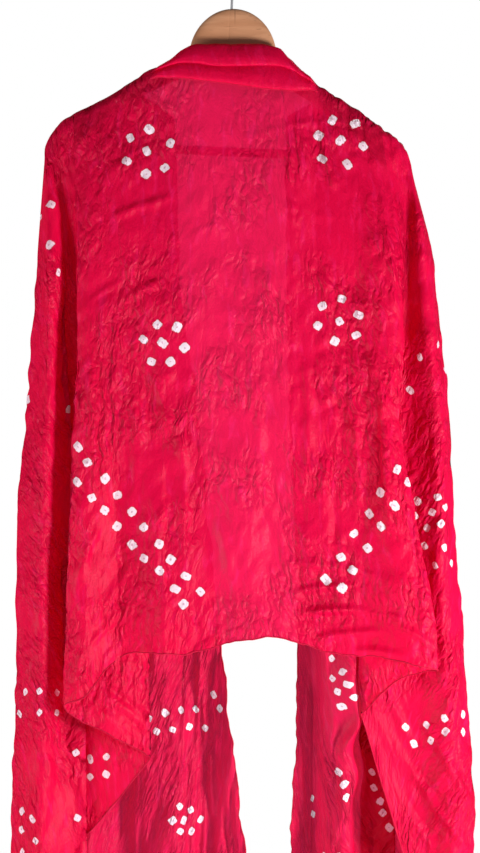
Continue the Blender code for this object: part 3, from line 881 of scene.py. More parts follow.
@dataclass
class Drape:
    """Works out the draped sheet from the fold tables."""

    hanger: ClothesHanger
    edge_clearance: float = 0.0034
    ridge_clearance: float = 0.0018
    right_tip_looseness: float = 0.006
    roll_radius: float = 0.003
    neck_x: float = 0.110
    first_fold_x: float = 0.188
    first_fold_column: int = 7
    side_columns: int = 24
    centre_columns: int = 12
    neck_edge_z: float = -0.200
    neck_edge_x: tuple[float, float] = (0.0745, 0.0640)
    neck_edge_columns: float = 3.0
    neck_edge_starts: float = 0.010
    hem_wave: float = 0.0042
    edge_wave: float = 0.0040
    wrap_drops: tuple[float, ...] = (0, 0.0008, 0.002, 0.004, 0.0065, 0.0095, 0.013, 0.017, 0.022)

    @property
    def rows(self) -> int:
        """Points below the wrap, down each column."""
        return int(232 * DETAIL)

    def ridge(self, column: float, side: int) -> tuple[np.ndarray, float]:
        """Finds where the cloth crosses the arm.

        Args:
            column: the column.
            side: -1 on the left, 1 on the right.

        Returns:
            The point on the ridge, and how far the cloth stands off it front and back.
        """
        hanger = self.hanger
        straight_end = hanger.half_span - hanger.end_radius
        reach = hanger.end_radius + self.edge_clearance
        line_length = straight_end - self.first_fold_x
        path_length = line_length + reach * math.pi / 2
        if column <= self.first_fold_column:
            x = self.neck_x + (self.first_fold_x - self.neck_x) * column / self.first_fold_column
            gone = 0.0
        else:
            share = (column - self.first_fold_column) / (self.side_columns - self.first_fold_column)
            gone = share * path_length
            x = min(self.first_fold_x + gone, straight_end)
        turn = max(gone - line_length, 0.0) / reach
        thick = float(hanger.half_thickness(min(x, straight_end)))
        standoff = (thick + self.edge_clearance) * math.cos(turn) ** 0.6
        z = float(hanger.top(x)) + self.ridge_clearance
        if turn > 0:
            loose_tip = self.right_tip_looseness if side > 0 else 0.0
            wood_x = straight_end + hanger.end_radius * math.sin(turn)
            x = straight_end + (reach + loose_tip) * math.sin(turn)
            z = float(hanger.top(wood_x)) + self.ridge_clearance * math.cos(turn)
        y = float(hanger.forward(min(x, hanger.half_span)))
        return hanger.hang([side * x, y, z]), standoff

    def stations(self, folds: Sequence[Fold], column: float, side: int) -> tuple[list, list, float]:
        """Reads x and y at the four heights, and the hem, at one column.

        Args:
            folds: the fold table.
            column: the column.
            side: the sign of x.

        Returns:
            x and y at the four heights, and the height of the uneven hem.
        """
        sharp = next((f.column for f in folds if f.name == "inner tip"), None)
        if sharp is not None:
            folds = [f for f in folds if (f.column <= sharp if column <= sharp else f.column >= sharp)]
        at = [f.column for f in folds]
        x = [side * float(loose(at, [getattr(f, n) for f in folds], column)) for n in Fold._fields[2:6]]
        y = [float(loose(at, [getattr(f, n) for f in folds], column)) for n in Fold._fields[6:10]]
        slow = noise.noise(Vector((x[3] * 26, y[3] * 26, 4.0)))
        quick = noise.noise(Vector((x[3] * 95, y[3] * 95, 9.0)))
        hem = float(loose(at, [f.hem for f in folds], column))
        return x, y, hem + self.hem_wave * (slow + 0.4 * quick)

    def fall(self, top: np.ndarray, standoff: float, face: int, fold: tuple,
             column: float = 24) -> np.ndarray:
        """Works out one column of the cloth, from the ridge down to its hem.

        Args:
            top: the point on the ridge.
            standoff: how far the cloth stands off the ridge.
            face: -1 where the column falls behind the ridge, 1 in front.
            fold: x and y at the four heights, and the hem.
            column: the column, where it is one of a front panel, which lies over the round bar.

        Returns:
            The column's points.
        """
        x, y, hem = fold
        lower = np.linspace(self.wrap_drops[-1], top[2] - hem, self.rows + 1)[1:]
        heights = top[2] - np.concatenate([self.wrap_drops, lower])
        wrap_end = top[2] - max(standoff, 1e-4)
        levels = [-wrap_end] + [-z for z in STATION_Z]
        first_y = top[1] + face * standoff
        depths = [first_y] + y
        if face > 0 and column < 24 and abs(top[0]) <= self.first_fold_x:
            hanger = self.hanger
            bar_z = hanger.hang([top[0], 0, -hanger.bar_drop])[2]
            between = first_y + (y[0] - first_y) * (wrap_end - bar_z) / (wrap_end - STATION_Z[0])
            clear = float(hanger.forward(hanger.bar_half_length)) + hanger.bar_radius + self.edge_clearance
            levels = [levels[0], -bar_z] + levels[1:]
            depths = [first_y, max(between, clear)] + y
        places, across = [-top[2]] + [-z for z in STATION_Z], [top[0]] + x
        if face > 0 and column < self.neck_edge_columns:
            aim = math.copysign(self.neck_edge_x[int(top[0] > 0)], top[0])
            pull = (1 - column / self.neck_edge_columns) ** 2
            natural = float(through(places, across, -self.neck_edge_z))
            places[1:1] = [places[0] + self.neck_edge_starts, -self.neck_edge_z]
            across[1:1] = [across[0], natural + (aim - natural) * pull]
        xs = through(places, across, -heights)
        ys = through(levels, depths, -heights)
        rise = np.clip((heights - wrap_end) / (top[2] - wrap_end), 0, 1)
        wrapped = top[1] + face * standoff * np.sqrt(1 - rise**2)
        ys = np.where(heights > wrap_end, wrapped, ys)
        return np.stack([xs, ys, heights], axis=1)

    def side(self, folds: Sequence[Fold], side: int, face: int, parts: Sequence[tuple]) -> Sheet:
        """Works out the back or the front of one side.

        Args:
            folds: the fold table.
            side: -1 on the left, 1 on the right.
            face: -1 at the back, 1 in front.
            parts: last column and Part of each stretch.

        Returns:
            The sheet.
        """
        near, far = max(int(5 * DETAIL), 2), max(int(3 * DETAIL), 2)
        first, last = self.first_fold_column, self.side_columns
        columns = np.concatenate([
            np.linspace(0, first, first * near + 1), np.linspace(first, last, (last - first) * far + 1)[1:],
        ])
        points, part = [], []
        for column in columns:
            top, standoff = self.ridge(column, side)
            fold = self.stations(folds, column, side)
            line = self.fall(top, standoff, face, fold, column)
            if face > 0 and column < 2:
                wave = np.array([
                    noise.noise(Vector((side, 5, z * 24))) + 0.45 * noise.noise(Vector((side, 8, z * 75)))
                    for z in line[:, 2]
                ])
                hangs_free = smoothstep(0.20, 0.26, -line[:, 2])
                line[:, 0] += self.edge_wave * (1 - column / 2) * wave * hangs_free
            points.append(line)
            part.append(next((p.value for end, p in parts if column < end - 1e-6), parts[-1][1].value))
        return Sheet(np.array(points), np.array(part))

    def collar_row(self, column: float) -> Collar:
        """Reads the collar's table between its rows."""
        at = [row.column for row in COLLAR]
        return Collar(column, *(float(through(at, [row[i] for row in COLLAR], column)) for i in range(1, 6)))

    def centre(self, left_neck: np.ndarray, right_neck: np.ndarray) -> Sheet:
        """Works out the middle of the back, between the two neck columns.

        Args:
            left_neck: the first column of the left back.
            right_neck: the first column of the right back.

        Returns:
            The sheet, its first and last columns being the two neck columns.
        """
        neck = LEFT_BACK[0]
        first = neck._replace(x36=-neck.x36, x60=-neck.x60, x85=-neck.x85, x109=-neck.x109)
        folds = (first, *CENTRE_BACK, RIGHT_BACK[0]._replace(column=self.centre_columns))
        steps = max(int(5 * DETAIL), 2)
        inner = np.linspace(1, self.centre_columns - 1, (self.centre_columns - 2) * steps + 1)
        falls = []
        for column in inner:
            row = self.collar_row(column)
            roll = self.roll_radius * math.sin(math.pi * column / self.centre_columns)
            top = np.array([row.x, row.y, row.top])
            falls.append(self.fall(top, roll, 1, self.stations(folds, column, 1)))
        shares = smoothstep(0, 1, np.linspace(0, 1, steps + 1)[1:-1])
        left = [left_neck * (1 - w) + falls[0] * w for w in shares]
        right = [falls[-1] * (1 - w) + right_neck * w for w in shares]
        points = [left_neck, *left, *falls, *right, right_neck]
        return Sheet(np.array(points), np.full(len(points), Part.BACK.value))

    def collar(self, centre: Sheet) -> Sheet:
        """Works out the collar, folded outward from the top of the middle back.

        Args:
            centre: the middle of the back.

        Returns:
            The sheet. Its first row is the top row of the middle back.
        """
        steps = max(int(5 * DETAIL), 2)
        edge = np.linspace(0, 1, steps + 1)[:-1]
        inner = np.linspace(1, self.centre_columns - 1, (self.centre_columns - 2) * steps + 1)
        columns = np.concatenate([edge, inner, self.centre_columns - edge[::-1]])
        shares = np.linspace(0, 1, int(46 * DETAIL))
        marks = np.linspace(0, 1, len(COLLAR_PROFILE))
        upper, lower, out = (through(marks, [row[i] for row in COLLAR_PROFILE], shares) for i in range(3))
        points = []
        for c, column in enumerate(columns):
            row = self.collar_row(float(np.clip(column, 1, self.centre_columns - 1)))
            fullness = 1.0 + 0.22 * noise.noise(Vector((column * 0.9, 4.2, 0)))
            drop = upper * (row.top - row.upper_band) + lower * (row.upper_band - row.lower_band)
            line = np.stack([np.full_like(drop, row.x), row.y - out * fullness, row.top - drop], axis=1)
            away = min(column, self.centre_columns - column)
            if away < 1:
                end = centre.points[0 if column < 1 else -1]
                bulge = (0, -0.0012, 0) * np.sin(shares * math.pi)[:, None]
                flat = end[0] + (end[4] - end[0]) * shares[:, None] + bulge
                weight = float(smoothstep(0, 1, np.array(away)))
                line = flat * (1 - weight) + line * weight
            line[0] = centre.points[c, 0]
            points.append(line)
        return Sheet(np.array(points), np.full(len(points), Part.COLLAR.value))


@dataclass
class Fabric:
    """The whole cloth as one net of points."""

    points: np.ndarray
    faces: np.ndarray
    part: np.ndarray
    flat: np.ndarray

    def normals(self) -> np.ndarray:
        """Works out the direction that the cloth faces at each point."""
        corner = self.points[self.faces]
        across = np.cross(corner[:, 2] - corner[:, 0], corner[:, 3] - corner[:, 1])
        total = np.zeros_like(self.points)
        for i in range(4):
            for axis in range(3):
                total[:, axis] += np.bincount(self.faces[:, i], across[:, axis], len(self.points))
        return total / np.maximum(np.linalg.norm(total, axis=1, keepdims=True), 1e-12)

    def centres(self) -> np.ndarray:
        """Works out the middle of each face."""
        return self.points[self.faces].mean(axis=1)


@dataclass
class Loom:
    """Joins sheets into one fabric, whose neighbours share their edge points."""

    def __post_init__(self) -> None:
        """Starts an empty fabric."""
        self.points, self.faces, self.part, self.flat = [], [], [], []
        self.count = 0

    def add(self, sheet: Sheet, number: np.ndarray, flip: bool) -> np.ndarray:
        """Adds a sheet.

        Args:
            sheet: the sheet.
            number: the point numbers it shares, and -1 for each new point, columns x rows.
            flip: whether its faces are turned over, so that the whole cloth faces one way.

        Returns:
            The number of each point.
        """
        new = number < 0
        number[new] = self.count + np.arange(new.sum())
        self.count += int(new.sum())
        self.points.append(sheet.points[new])
        faces, flat = [], []
        corners = ((0, 0), (1, 0), (1, 1), (0, 1))
        columns, rows = number.shape
        for c, r in reversed(corners) if flip else corners:
            faces.append(number[c:columns - 1 + c, r:rows - 1 + r].reshape(-1))
            flat.append(sheet.flat[c:columns - 1 + c, r:rows - 1 + r].reshape(-1, 2))
        self.faces.append(np.stack(faces, axis=1))
        self.flat.append(np.stack(flat, axis=1))
        self.part.append(np.repeat(sheet.part[:-1], rows - 1))
        return number

    def finish(self) -> Fabric:
        """Gives the joined fabric."""
        return Fabric(*(np.concatenate(x) for x in (self.points, self.faces, self.part, self.flat)))


# A crease from one place to another on the part of the cloth that shows there. Its section is a
# soft trough where height is below zero, and a soft ridge where it is above.
Crease = namedtuple("Crease", "part x0 z0 x1 z1 width height")
CREASES = (
    Crease(Part.BACK, -0.112, -0.500, -0.078, -0.775, 0.0150, -0.0048),
    Crease(Part.BACK, -0.122, -0.480, -0.062, -0.615, 0.0040, 0.0022),
    Crease(Part.BACK, 0.120, -0.290, 0.150, -0.420, 0.0120, -0.0028),
    Crease(Part.BACK, 0.170, -0.560, 0.150, -0.700, 0.0130, -0.0034),
    Crease(Part.BACK, -0.160, -0.250, -0.150, -0.420, 0.0120, -0.0026),
    Crease(Part.BACK, -0.150, -0.325, -0.070, -0.298, 0.0055, 0.0022),
    Crease(Part.BACK, -0.170, -0.421, -0.139, -0.402, 0.0050, 0.0020),
    Crease(Part.BACK, -0.136, -0.426, -0.087, -0.400, 0.0055, 0.0024),
    Crease(Part.BACK, -0.051, -0.345, -0.019, -0.329, 0.0050, 0.0018),
    Crease(Part.BACK, 0.016, -0.317, 0.017, -0.398, 0.0050, 0.0020),
    Crease(Part.BACK, -0.048, -0.393, -0.022, -0.427, 0.0050, 0.0018),
    Crease(Part.BACK, 0.025, -0.520, 0.028, -0.636, 0.0060, 0.0024),
    Crease(Part.BACK, 0.028, -0.636, 0.069, -0.763, 0.0060, 0.0022),
    Crease(Part.BACK, 0.086, -0.500, 0.086, -0.640, 0.0070, 0.0030),
    Crease(Part.BACK, 0.135, -0.520, 0.150, -0.700, 0.0080, 0.0028),
    Crease(Part.BACK, 0.166, -0.480, 0.186, -0.690, 0.0070, 0.0026),
    Crease(Part.BACK, 0.110, -0.560, 0.118, -0.780, 0.0070, -0.0022),
    Crease(Part.BACK, -0.128, -0.180, -0.060, -0.196, 0.0045, 0.0016),
    Crease(Part.BACK, -0.040, -0.186, 0.050, -0.180, 0.0045, 0.0015),
    Crease(Part.BACK, 0.030, -0.224, 0.110, -0.206, 0.0050, 0.0018),
    Crease(Part.BACK, -0.080, -0.232, 0.000, -0.240, 0.0050, -0.0014),
    Crease(Part.BACK, -0.070, -0.560, -0.060, -0.700, 0.0070, 0.0024),
    Crease(Part.BACK, -0.120, -0.530, -0.128, -0.690, 0.0080, 0.0022),
    Crease(Part.BACK, -0.150, -0.640, -0.140, -0.800, 0.0070, -0.0020),
    Crease(Part.BACK, -0.020, -0.690, 0.004, -0.810, 0.0060, 0.0020),
    Crease(Part.BACK, 0.060, -0.742, 0.180, -0.760, 0.0050, 0.0016),
    Crease(Part.BACK, 0.080, -0.800, 0.220, -0.812, 0.0050, 0.0018),
    Crease(Part.BACK, 0.081, -0.804, 0.155, -0.798, 0.0045, 0.0042),
    Crease(Part.BACK, 0.100, -0.834, 0.175, -0.825, 0.0045, 0.0042),
    Crease(Part.BACK, 0.144, -0.847, 0.202, -0.854, 0.0045, 0.0042),
    Crease(Part.BACK, 0.202, -0.818, 0.241, -0.844, 0.0045, 0.0042),
    Crease(Part.BACK, 0.070, -0.778, 0.140, -0.770, 0.0045, 0.0042),
    Crease(Part.BACK, -0.190, -0.770, -0.160, -0.690, 0.0060, 0.0026),
    Crease(Part.BACK, -0.174, -0.843, -0.146, -0.812, 0.0050, 0.0028),
    Crease(Part.BACK, -0.150, -0.790, -0.120, -0.740, 0.0055, 0.0022),
    Crease(Part.LEFT_RETURN, -0.166, -0.892, -0.140, -0.854, 0.0050, 0.0030),
    Crease(Part.LEFT_RETURN, -0.159, -0.888, -0.111, -0.927, 0.0050, 0.0034),
    Crease(Part.LEFT_RETURN, -0.155, -0.911, -0.111, -0.945, 0.0045, 0.0028),
    Crease(Part.LEFT_RETURN, -0.176, -0.904, -0.134, -0.935, 0.0045, 0.0026),
    Crease(Part.LEFT_CASCADE, -0.150, -0.945, -0.120, -1.010, 0.0050, 0.0028),
    Crease(Part.LEFT_CASCADE, -0.180, -0.930, -0.165, -1.020, 0.0050, 0.0026),
    Crease(Part.LEFT_COLUMN, -0.222, -0.330, -0.232, -0.620, 0.0080, 0.0024),
    Crease(Part.LEFT_COLUMN, -0.215, -0.620, -0.222, -1.080, 0.0080, -0.0024),
    Crease(Part.RIGHT_COLUMN, 0.230, -0.420, 0.246, -0.760, 0.0080, 0.0024),
    Crease(Part.RIGHT_COLUMN, 0.168, -0.880, 0.208, -0.945, 0.0050, 0.0030),
    Crease(Part.RIGHT_COLUMN, 0.160, -0.935, 0.205, -0.980, 0.0050, 0.0032),
    Crease(Part.RIGHT_COLUMN, 0.200, -0.975, 0.245, -1.040, 0.0050, 0.0034),
    Crease(Part.RIGHT_COLUMN, 0.240, -1.035, 0.285, -1.095, 0.0055, 0.0034),
    Crease(Part.RIGHT_COLUMN, 0.190, -1.020, 0.240, -1.090, 0.0050, 0.0030),
    Crease(Part.RIGHT_COLUMN, 0.230, -0.935, 0.265, -0.995, 0.0050, 0.0028),
    Crease(Part.RIGHT_COLUMN, 0.258, -0.985, 0.284, -1.040, 0.0050, 0.0028),
    Crease(Part.RIGHT_COLUMN, 0.255, -0.830, 0.272, -0.880, 0.0045, 0.0020),
    Crease(Part.RIGHT_RETURN, 0.165, -0.920, 0.200, -0.990, 0.0050, 0.0028),
    Crease(Part.LEFT_FRONT, -0.090, -0.900, -0.100, -1.090, 0.0080, 0.0030),
    Crease(Part.LEFT_FRONT, -0.045, -0.860, -0.030, -1.060, 0.0070, -0.0026),
)


@dataclass
class Wrinkles:
    """Crushes the smooth drape: long creases, soft lumps, fine crinkle and tied puckers."""

    lump: float = 0.0030
    crush: float = 0.0030
    inward_limit: float = 0.0012
    free_below: float = -0.36
    front_fold: float = 0.0070
    front_pitch: float = 0.047
    front_half_width: float = 0.262
    twist: float = 0.0140
    strip_x: float = 0.138
    strip_half_width: float = 0.021
    strip_from: float = 0.80
    pucker: float = 0.0009
    collar_share: float = 0.22
    crease_share: float = 1.6
    front_line: float = 0.0095
    pucker_radius: float = 0.0065

    def field(self, points: np.ndarray, scale: Sequence[float], seed: float) -> np.ndarray:
        """Reads smooth noise at many points.

        Args:
            points: the points.
            scale: lumps to the metre along each axis.
            seed: which field to read.

        Returns:
            The noise at each point, about -1 to 1.
        """
        placed = points * np.asarray(scale, float) + (seed, seed * 1.7, seed * 0.6)
        return np.array([noise.noise(Vector(p)) for p in placed])

    def facets(self, points: np.ndarray, scale: Sequence[float], seed: float) -> np.ndarray:
        """Reads a net of facets between sharp folds at many points.

        Args:
            points: the points.
            scale: facets to the metre along each axis.
            seed: which net to read.

        Returns:
            The height above the nearest fold, about 0 to 1.
        """
        placed = points * np.asarray(scale, float) + (seed, seed * 1.7, seed * 0.6)
        nearest = np.array([noise.voronoi(Vector(p))[0][:2] for p in placed])
        return nearest[:, 1] - nearest[:, 0]

    def crushed(self, points: np.ndarray) -> np.ndarray:
        """Works out the height of the lumps and the crush marks.

        Args:
            points: the points of the fabric.

        Returns:
            The height at each point, in metres.
        """
        height = self.lump * self.field(points, (24, 20, 11), 3.1)
        leaning = points @ np.array(Matrix.Rotation(-0.3, 3, "Y"))
        height += self.lump * 1.5 * self.field(leaning, (13, 10, 5), 27.4)
        height += self.lump * 0.7 * self.field(points, (14, 20, 34), 8.4)
        slanted = points @ np.array(Matrix.Rotation(0.55, 3, "Y"))
        for turned, scale, seed in ((slanted, (46, 40, 20), 5.2), (points, (64, 50, 38), 11.9)):
            patchy = 0.6 + 0.9 * self.field(points, (9, 9, 9), seed + 1.3)
            height += self.crush * (self.facets(turned, scale, seed) - 0.35) * np.clip(patchy, 0.2, 1.3)
        return height

    def along(self, crease: Crease, x: np.ndarray, z: np.ndarray) -> np.ndarray:
        """Works out the height that one crease gives.

        Args:
            crease: the crease.
            x: the points' x, as the camera sees them.
            z: the points' z, as the camera sees them.

        Returns:
            The height at each point, in metres.
        """
        run = np.array([crease.x1 - crease.x0, crease.z1 - crease.z0])
        length = float(np.hypot(*run))
        run /= length
        gone = (x - crease.x0) * run[0] + (z - crease.z0) * run[1]
        bow = 0.10 * length * np.sin(np.clip(gone / length, 0, 1) * math.pi)
        off = (z - crease.z0) * run[0] - (x - crease.x0) * run[1] - bow * 0.35
        taper = smoothstep(-0.012, 0.02, gone) * smoothstep(-0.012, 0.02, length - gone)
        section = np.exp(-((off / crease.width) ** 2)) - 0.35 * np.exp(-((off / (2.4 * crease.width)) ** 2))
        return self.crease_share * crease.height * section * taper


class Motif(Enum):
    """The traditional groups in which bandhani dots are tied."""

    SEVEN = "a ring of six round a middle dot"
    ROW = "dots in a line"
    SQUARE = "four dots"


# A group of dots: its part of the cloth, its motif, its first place, then for a row its last
# place, or for the others its turn in degrees and its pitch. A row also has its count.
Group = namedtuple("Group", "part motif x z a b count", defaults=(0,))
GROUPS = (
    Group(Part.BACK, Motif.SEVEN, -0.105, -0.244, 22, 0.0284),
    Group(Part.BACK, Motif.SEVEN, 0.129, -0.231, -13, 0.0276),
    Group(Part.BACK, Motif.SEVEN, -0.085, -0.476, -8, 0.0253),
    Group(Part.BACK, Motif.SEVEN, 0.126, -0.447, 18, 0.0259),
    Group(Part.BACK, Motif.ROW, -0.191, -0.601, -0.042, -0.777, 10),
    Group(Part.BACK, Motif.ROW, -0.189, -0.643, -0.059, -0.791, 9),
    Group(Part.BACK, Motif.ROW, 0.195, -0.630, 0.111, -0.760, 6),
    Group(Part.BACK, Motif.ROW, 0.210, -0.645, 0.129, -0.776, 6),
    Group(Part.BACK, Motif.ROW, 0.203, -0.886, 0.244, -0.886, 3),
    Group(Part.LEFT_COLUMN, Motif.ROW, -0.222, -0.308, -0.235, -0.325, 2),
    Group(Part.LEFT_COLUMN, Motif.ROW, -0.223, -0.358, -0.211, -0.388, 2),
    Group(Part.LEFT_COLUMN, Motif.ROW, -0.253, -0.544, -0.200, -0.556, 2),
    Group(Part.LEFT_COLUMN, Motif.ROW, -0.259, -0.898, -0.214, -0.896, 3),
    Group(Part.LEFT_COLUMN, Motif.ROW, -0.261, -0.924, -0.214, -0.923, 3),
    Group(Part.LEFT_COLUMN, Motif.ROW, -0.255, -1.042, -0.259, -1.089, 3),
    Group(Part.LEFT_COLUMN, Motif.ROW, -0.244, -1.054, -0.243, -1.080, 2),
    Group(Part.LEFT_COLUMN, Motif.ROW, -0.191, -0.971, -0.190, -1.050, 2),
    Group(Part.LEFT_CASCADE, Motif.SQUARE, -0.163, -0.989, 3, 0.0215),
    Group(Part.LEFT_FRONT, Motif.ROW, -0.103, -0.929, -0.045, -0.918, 4),
    Group(Part.LEFT_FRONT, Motif.ROW, -0.096, -0.947, -0.033, -0.939, 4),
    Group(Part.LEFT_FRONT, Motif.ROW, -0.023, -0.900, -0.016, -0.918, 2),
    Group(Part.LEFT_FRONT, Motif.SEVEN, -0.059, -1.053, 0, 0.0158),
    Group(Part.RIGHT_COLUMN, Motif.ROW, 0.246, -0.479, 0.225, -0.491, 2),
    Group(Part.RIGHT_COLUMN, Motif.ROW, 0.253, -0.507, 0.213, -0.531, 2),
    Group(Part.RIGHT_COLUMN, Motif.SEVEN, 0.238, -0.680, 12, 0.0185),
    Group(Part.RIGHT_COLUMN, Motif.ROW, 0.232, -0.719, 0.256, -0.721, 2),
    Group(Part.RIGHT_COLUMN, Motif.ROW, 0.241, -0.746, 0.264, -0.743, 2),
    Group(Part.RIGHT_COLUMN, Motif.ROW, 0.256, -0.928, 0.275, -0.924, 2),
    Group(Part.RIGHT_COLUMN, Motif.ROW, 0.257, -0.947, 0.276, -0.945, 2),
    Group(Part.RIGHT_COLUMN, Motif.ROW, 0.210, -0.938, 0.234, -0.936, 2),
    Group(Part.RIGHT_COLUMN, Motif.ROW, 0.217, -0.961, 0.238, -0.955, 2),
    Group(Part.RIGHT_FRONT, Motif.ROW, 0.222, -0.904, 0.239, -0.904, 2),
    Group(Part.RIGHT_FRONT, Motif.ROW, 0.120, -0.861, 0.128, -0.915, 4),
    Group(Part.RIGHT_FRONT, Motif.ROW, 0.136, -0.871, 0.145, -0.905, 3),
    Group(Part.RIGHT_FRONT, Motif.ROW, 0.125, -0.993, 0.137, -1.024, 3),
    Group(Part.RIGHT_FRONT, Motif.ROW, 0.167, -0.994, 0.186, -1.063, 5),
    Group(Part.RIGHT_FRONT, Motif.ROW, 0.098, -1.026, 0.096, -1.045, 2),
)
# Where rows of the unseen parts repeat the same groups, from a first place by a step each way.
Repeat = namedtuple("Repeat", "part x0 z0 dx dz across down")
REPEATS = (
    Repeat(Part.LEFT_FRONT, -0.175, -0.300, 0.085, -0.155, 2, 4),
    Repeat(Part.RIGHT_FRONT, 0.105, -0.270, 0.085, -0.155, 2, 4),
    Repeat(Part.LEFT_FRONT, -0.200, -1.130, 0.085, -0.110, 2, 2),
    Repeat(Part.RIGHT_FRONT, 0.125, -1.120, 0.095, -0.120, 2, 2),
    Repeat(Part.LEFT_COLUMN, -0.245, -1.200, 0.040, -0.110, 1, 1),
    Repeat(Part.RIGHT_COLUMN, 0.262, -1.130, 0.040, -0.100, 1, 2),
)


@dataclass
class TiedDots:
    """Ties the dots. Each face near a dot learns how far it lies from the dot's middle."""

    reach: float = 0.0125
    jitter: float = 0.0011
    smallest: float = 0.84
    largest: float = 1.06
    tight: float = 0.82
    far_away: float = 1.0
    turns: tuple[float, float] = (0.35, 1.25)
    stretches: tuple[float, float] = (0.84, 1.16)
    off_cloth: float = 0.004

    def places(self, rng: np.random.Generator) -> list[tuple[int, float, float]]:
        """Lists the dots of all groups.

        Args:
            rng: the seeded source of small unevenness.

        Returns:
            The part and the x and z of each dot, as the camera sees it.
        """
        groups = list(GROUPS)
        for row in REPEATS:
            for i in range(row.across):
                for j in range(row.down):
                    x = row.x0 + i * row.dx + (j % 2) * row.dx / 3
                    groups.append(Group(row.part, Motif.SEVEN, x, row.z0 + j * row.dz, 11 * j, 0.0262))
        made = []
        for group in groups:
            for x, z in self.spread(group):
                dx, dz = rng.normal(0, self.jitter, 2)
                made.append((group.part.value, x + dx, z + dz))
        return made

    def spread(self, group: Group) -> list[tuple[float, float]]:
        """Places the dots of one group.

        Args:
            group: the group.

        Returns:
            The x and z of each dot.
        """
        if group.motif is Motif.ROW:
            shares = np.linspace(0, 1, group.count)
            return [(group.x + (group.a - group.x) * s, group.z + (group.b - group.z) * s) for s in shares]
        turn = math.radians(group.a)
        if group.motif is Motif.SQUARE:
            ring = [(math.pi / 4 + i * math.pi / 2 + turn, group.b / math.sqrt(2)) for i in range(4)]
        else:
            ring = [(0.0, 0.0)] + [(i * math.pi / 3 + turn, group.b) for i in range(6)]
        return [(group.x + r * math.cos(a), group.z + r * math.sin(a)) for a, r in ring]

    def tie(self, fabric: Fabric, seen: np.ndarray,
            rng: np.random.Generator) -> tuple[np.ndarray, np.ndarray]:
        """Ties all the dots.

        Args:
            fabric: the smooth fabric.
            seen: x and z of each face as the camera sees it.
            rng: the seeded source of small unevenness.

        Returns:
            The dot map's value at each face corner, and the middle of each dot.
        """
        centres = fabric.centres()
        corner = fabric.points[fabric.faces]
        across = np.cross(corner[:, 2] - corner[:, 0], corner[:, 3] - corner[:, 1])
        across /= np.maximum(np.linalg.norm(across, axis=1, keepdims=True), 1e-12)
        nearest = np.full(len(fabric.faces), np.inf)
        dot_map = np.full((len(fabric.faces), 4, 2), self.far_away)
        middles = []
        for part, x, z in self.places(rng):
            own = np.flatnonzero(fabric.part == part)
            away = np.hypot(seen[own, 0] - x, seen[own, 1] - z)
            face = own[int(np.argmin(away))]
            turn = rng.uniform(*self.turns)
            size = rng.uniform(self.smallest, self.largest)
            longer = rng.uniform(*self.stretches)
            size *= self.tight if part != Part.BACK.value else 1.0
            if away.min() > self.off_cloth:
                continue
            middle, out = centres[face], across[face]
            right = np.cross((0.0, 0.0, 1.0), out)
            right /= max(np.linalg.norm(right), 1e-9)
            up = np.cross(out, right)
            gap = np.linalg.norm(centres[own] - middle, axis=1)
            near = own[(gap < self.reach) & (gap < nearest[own])]
            nearest[near] = np.linalg.norm(centres[near] - middle, axis=1)
            offset = corner[near] - middle
            u, v = offset @ right / size, offset @ up / size
            dot_map[near, :, 0] = (math.cos(turn) * u - math.sin(turn) * v) * longer
            dot_map[near, :, 1] = (math.sin(turn) * u + math.cos(turn) * v) / longer
            middles.append(middle)
        return dot_map, np.array(middles)


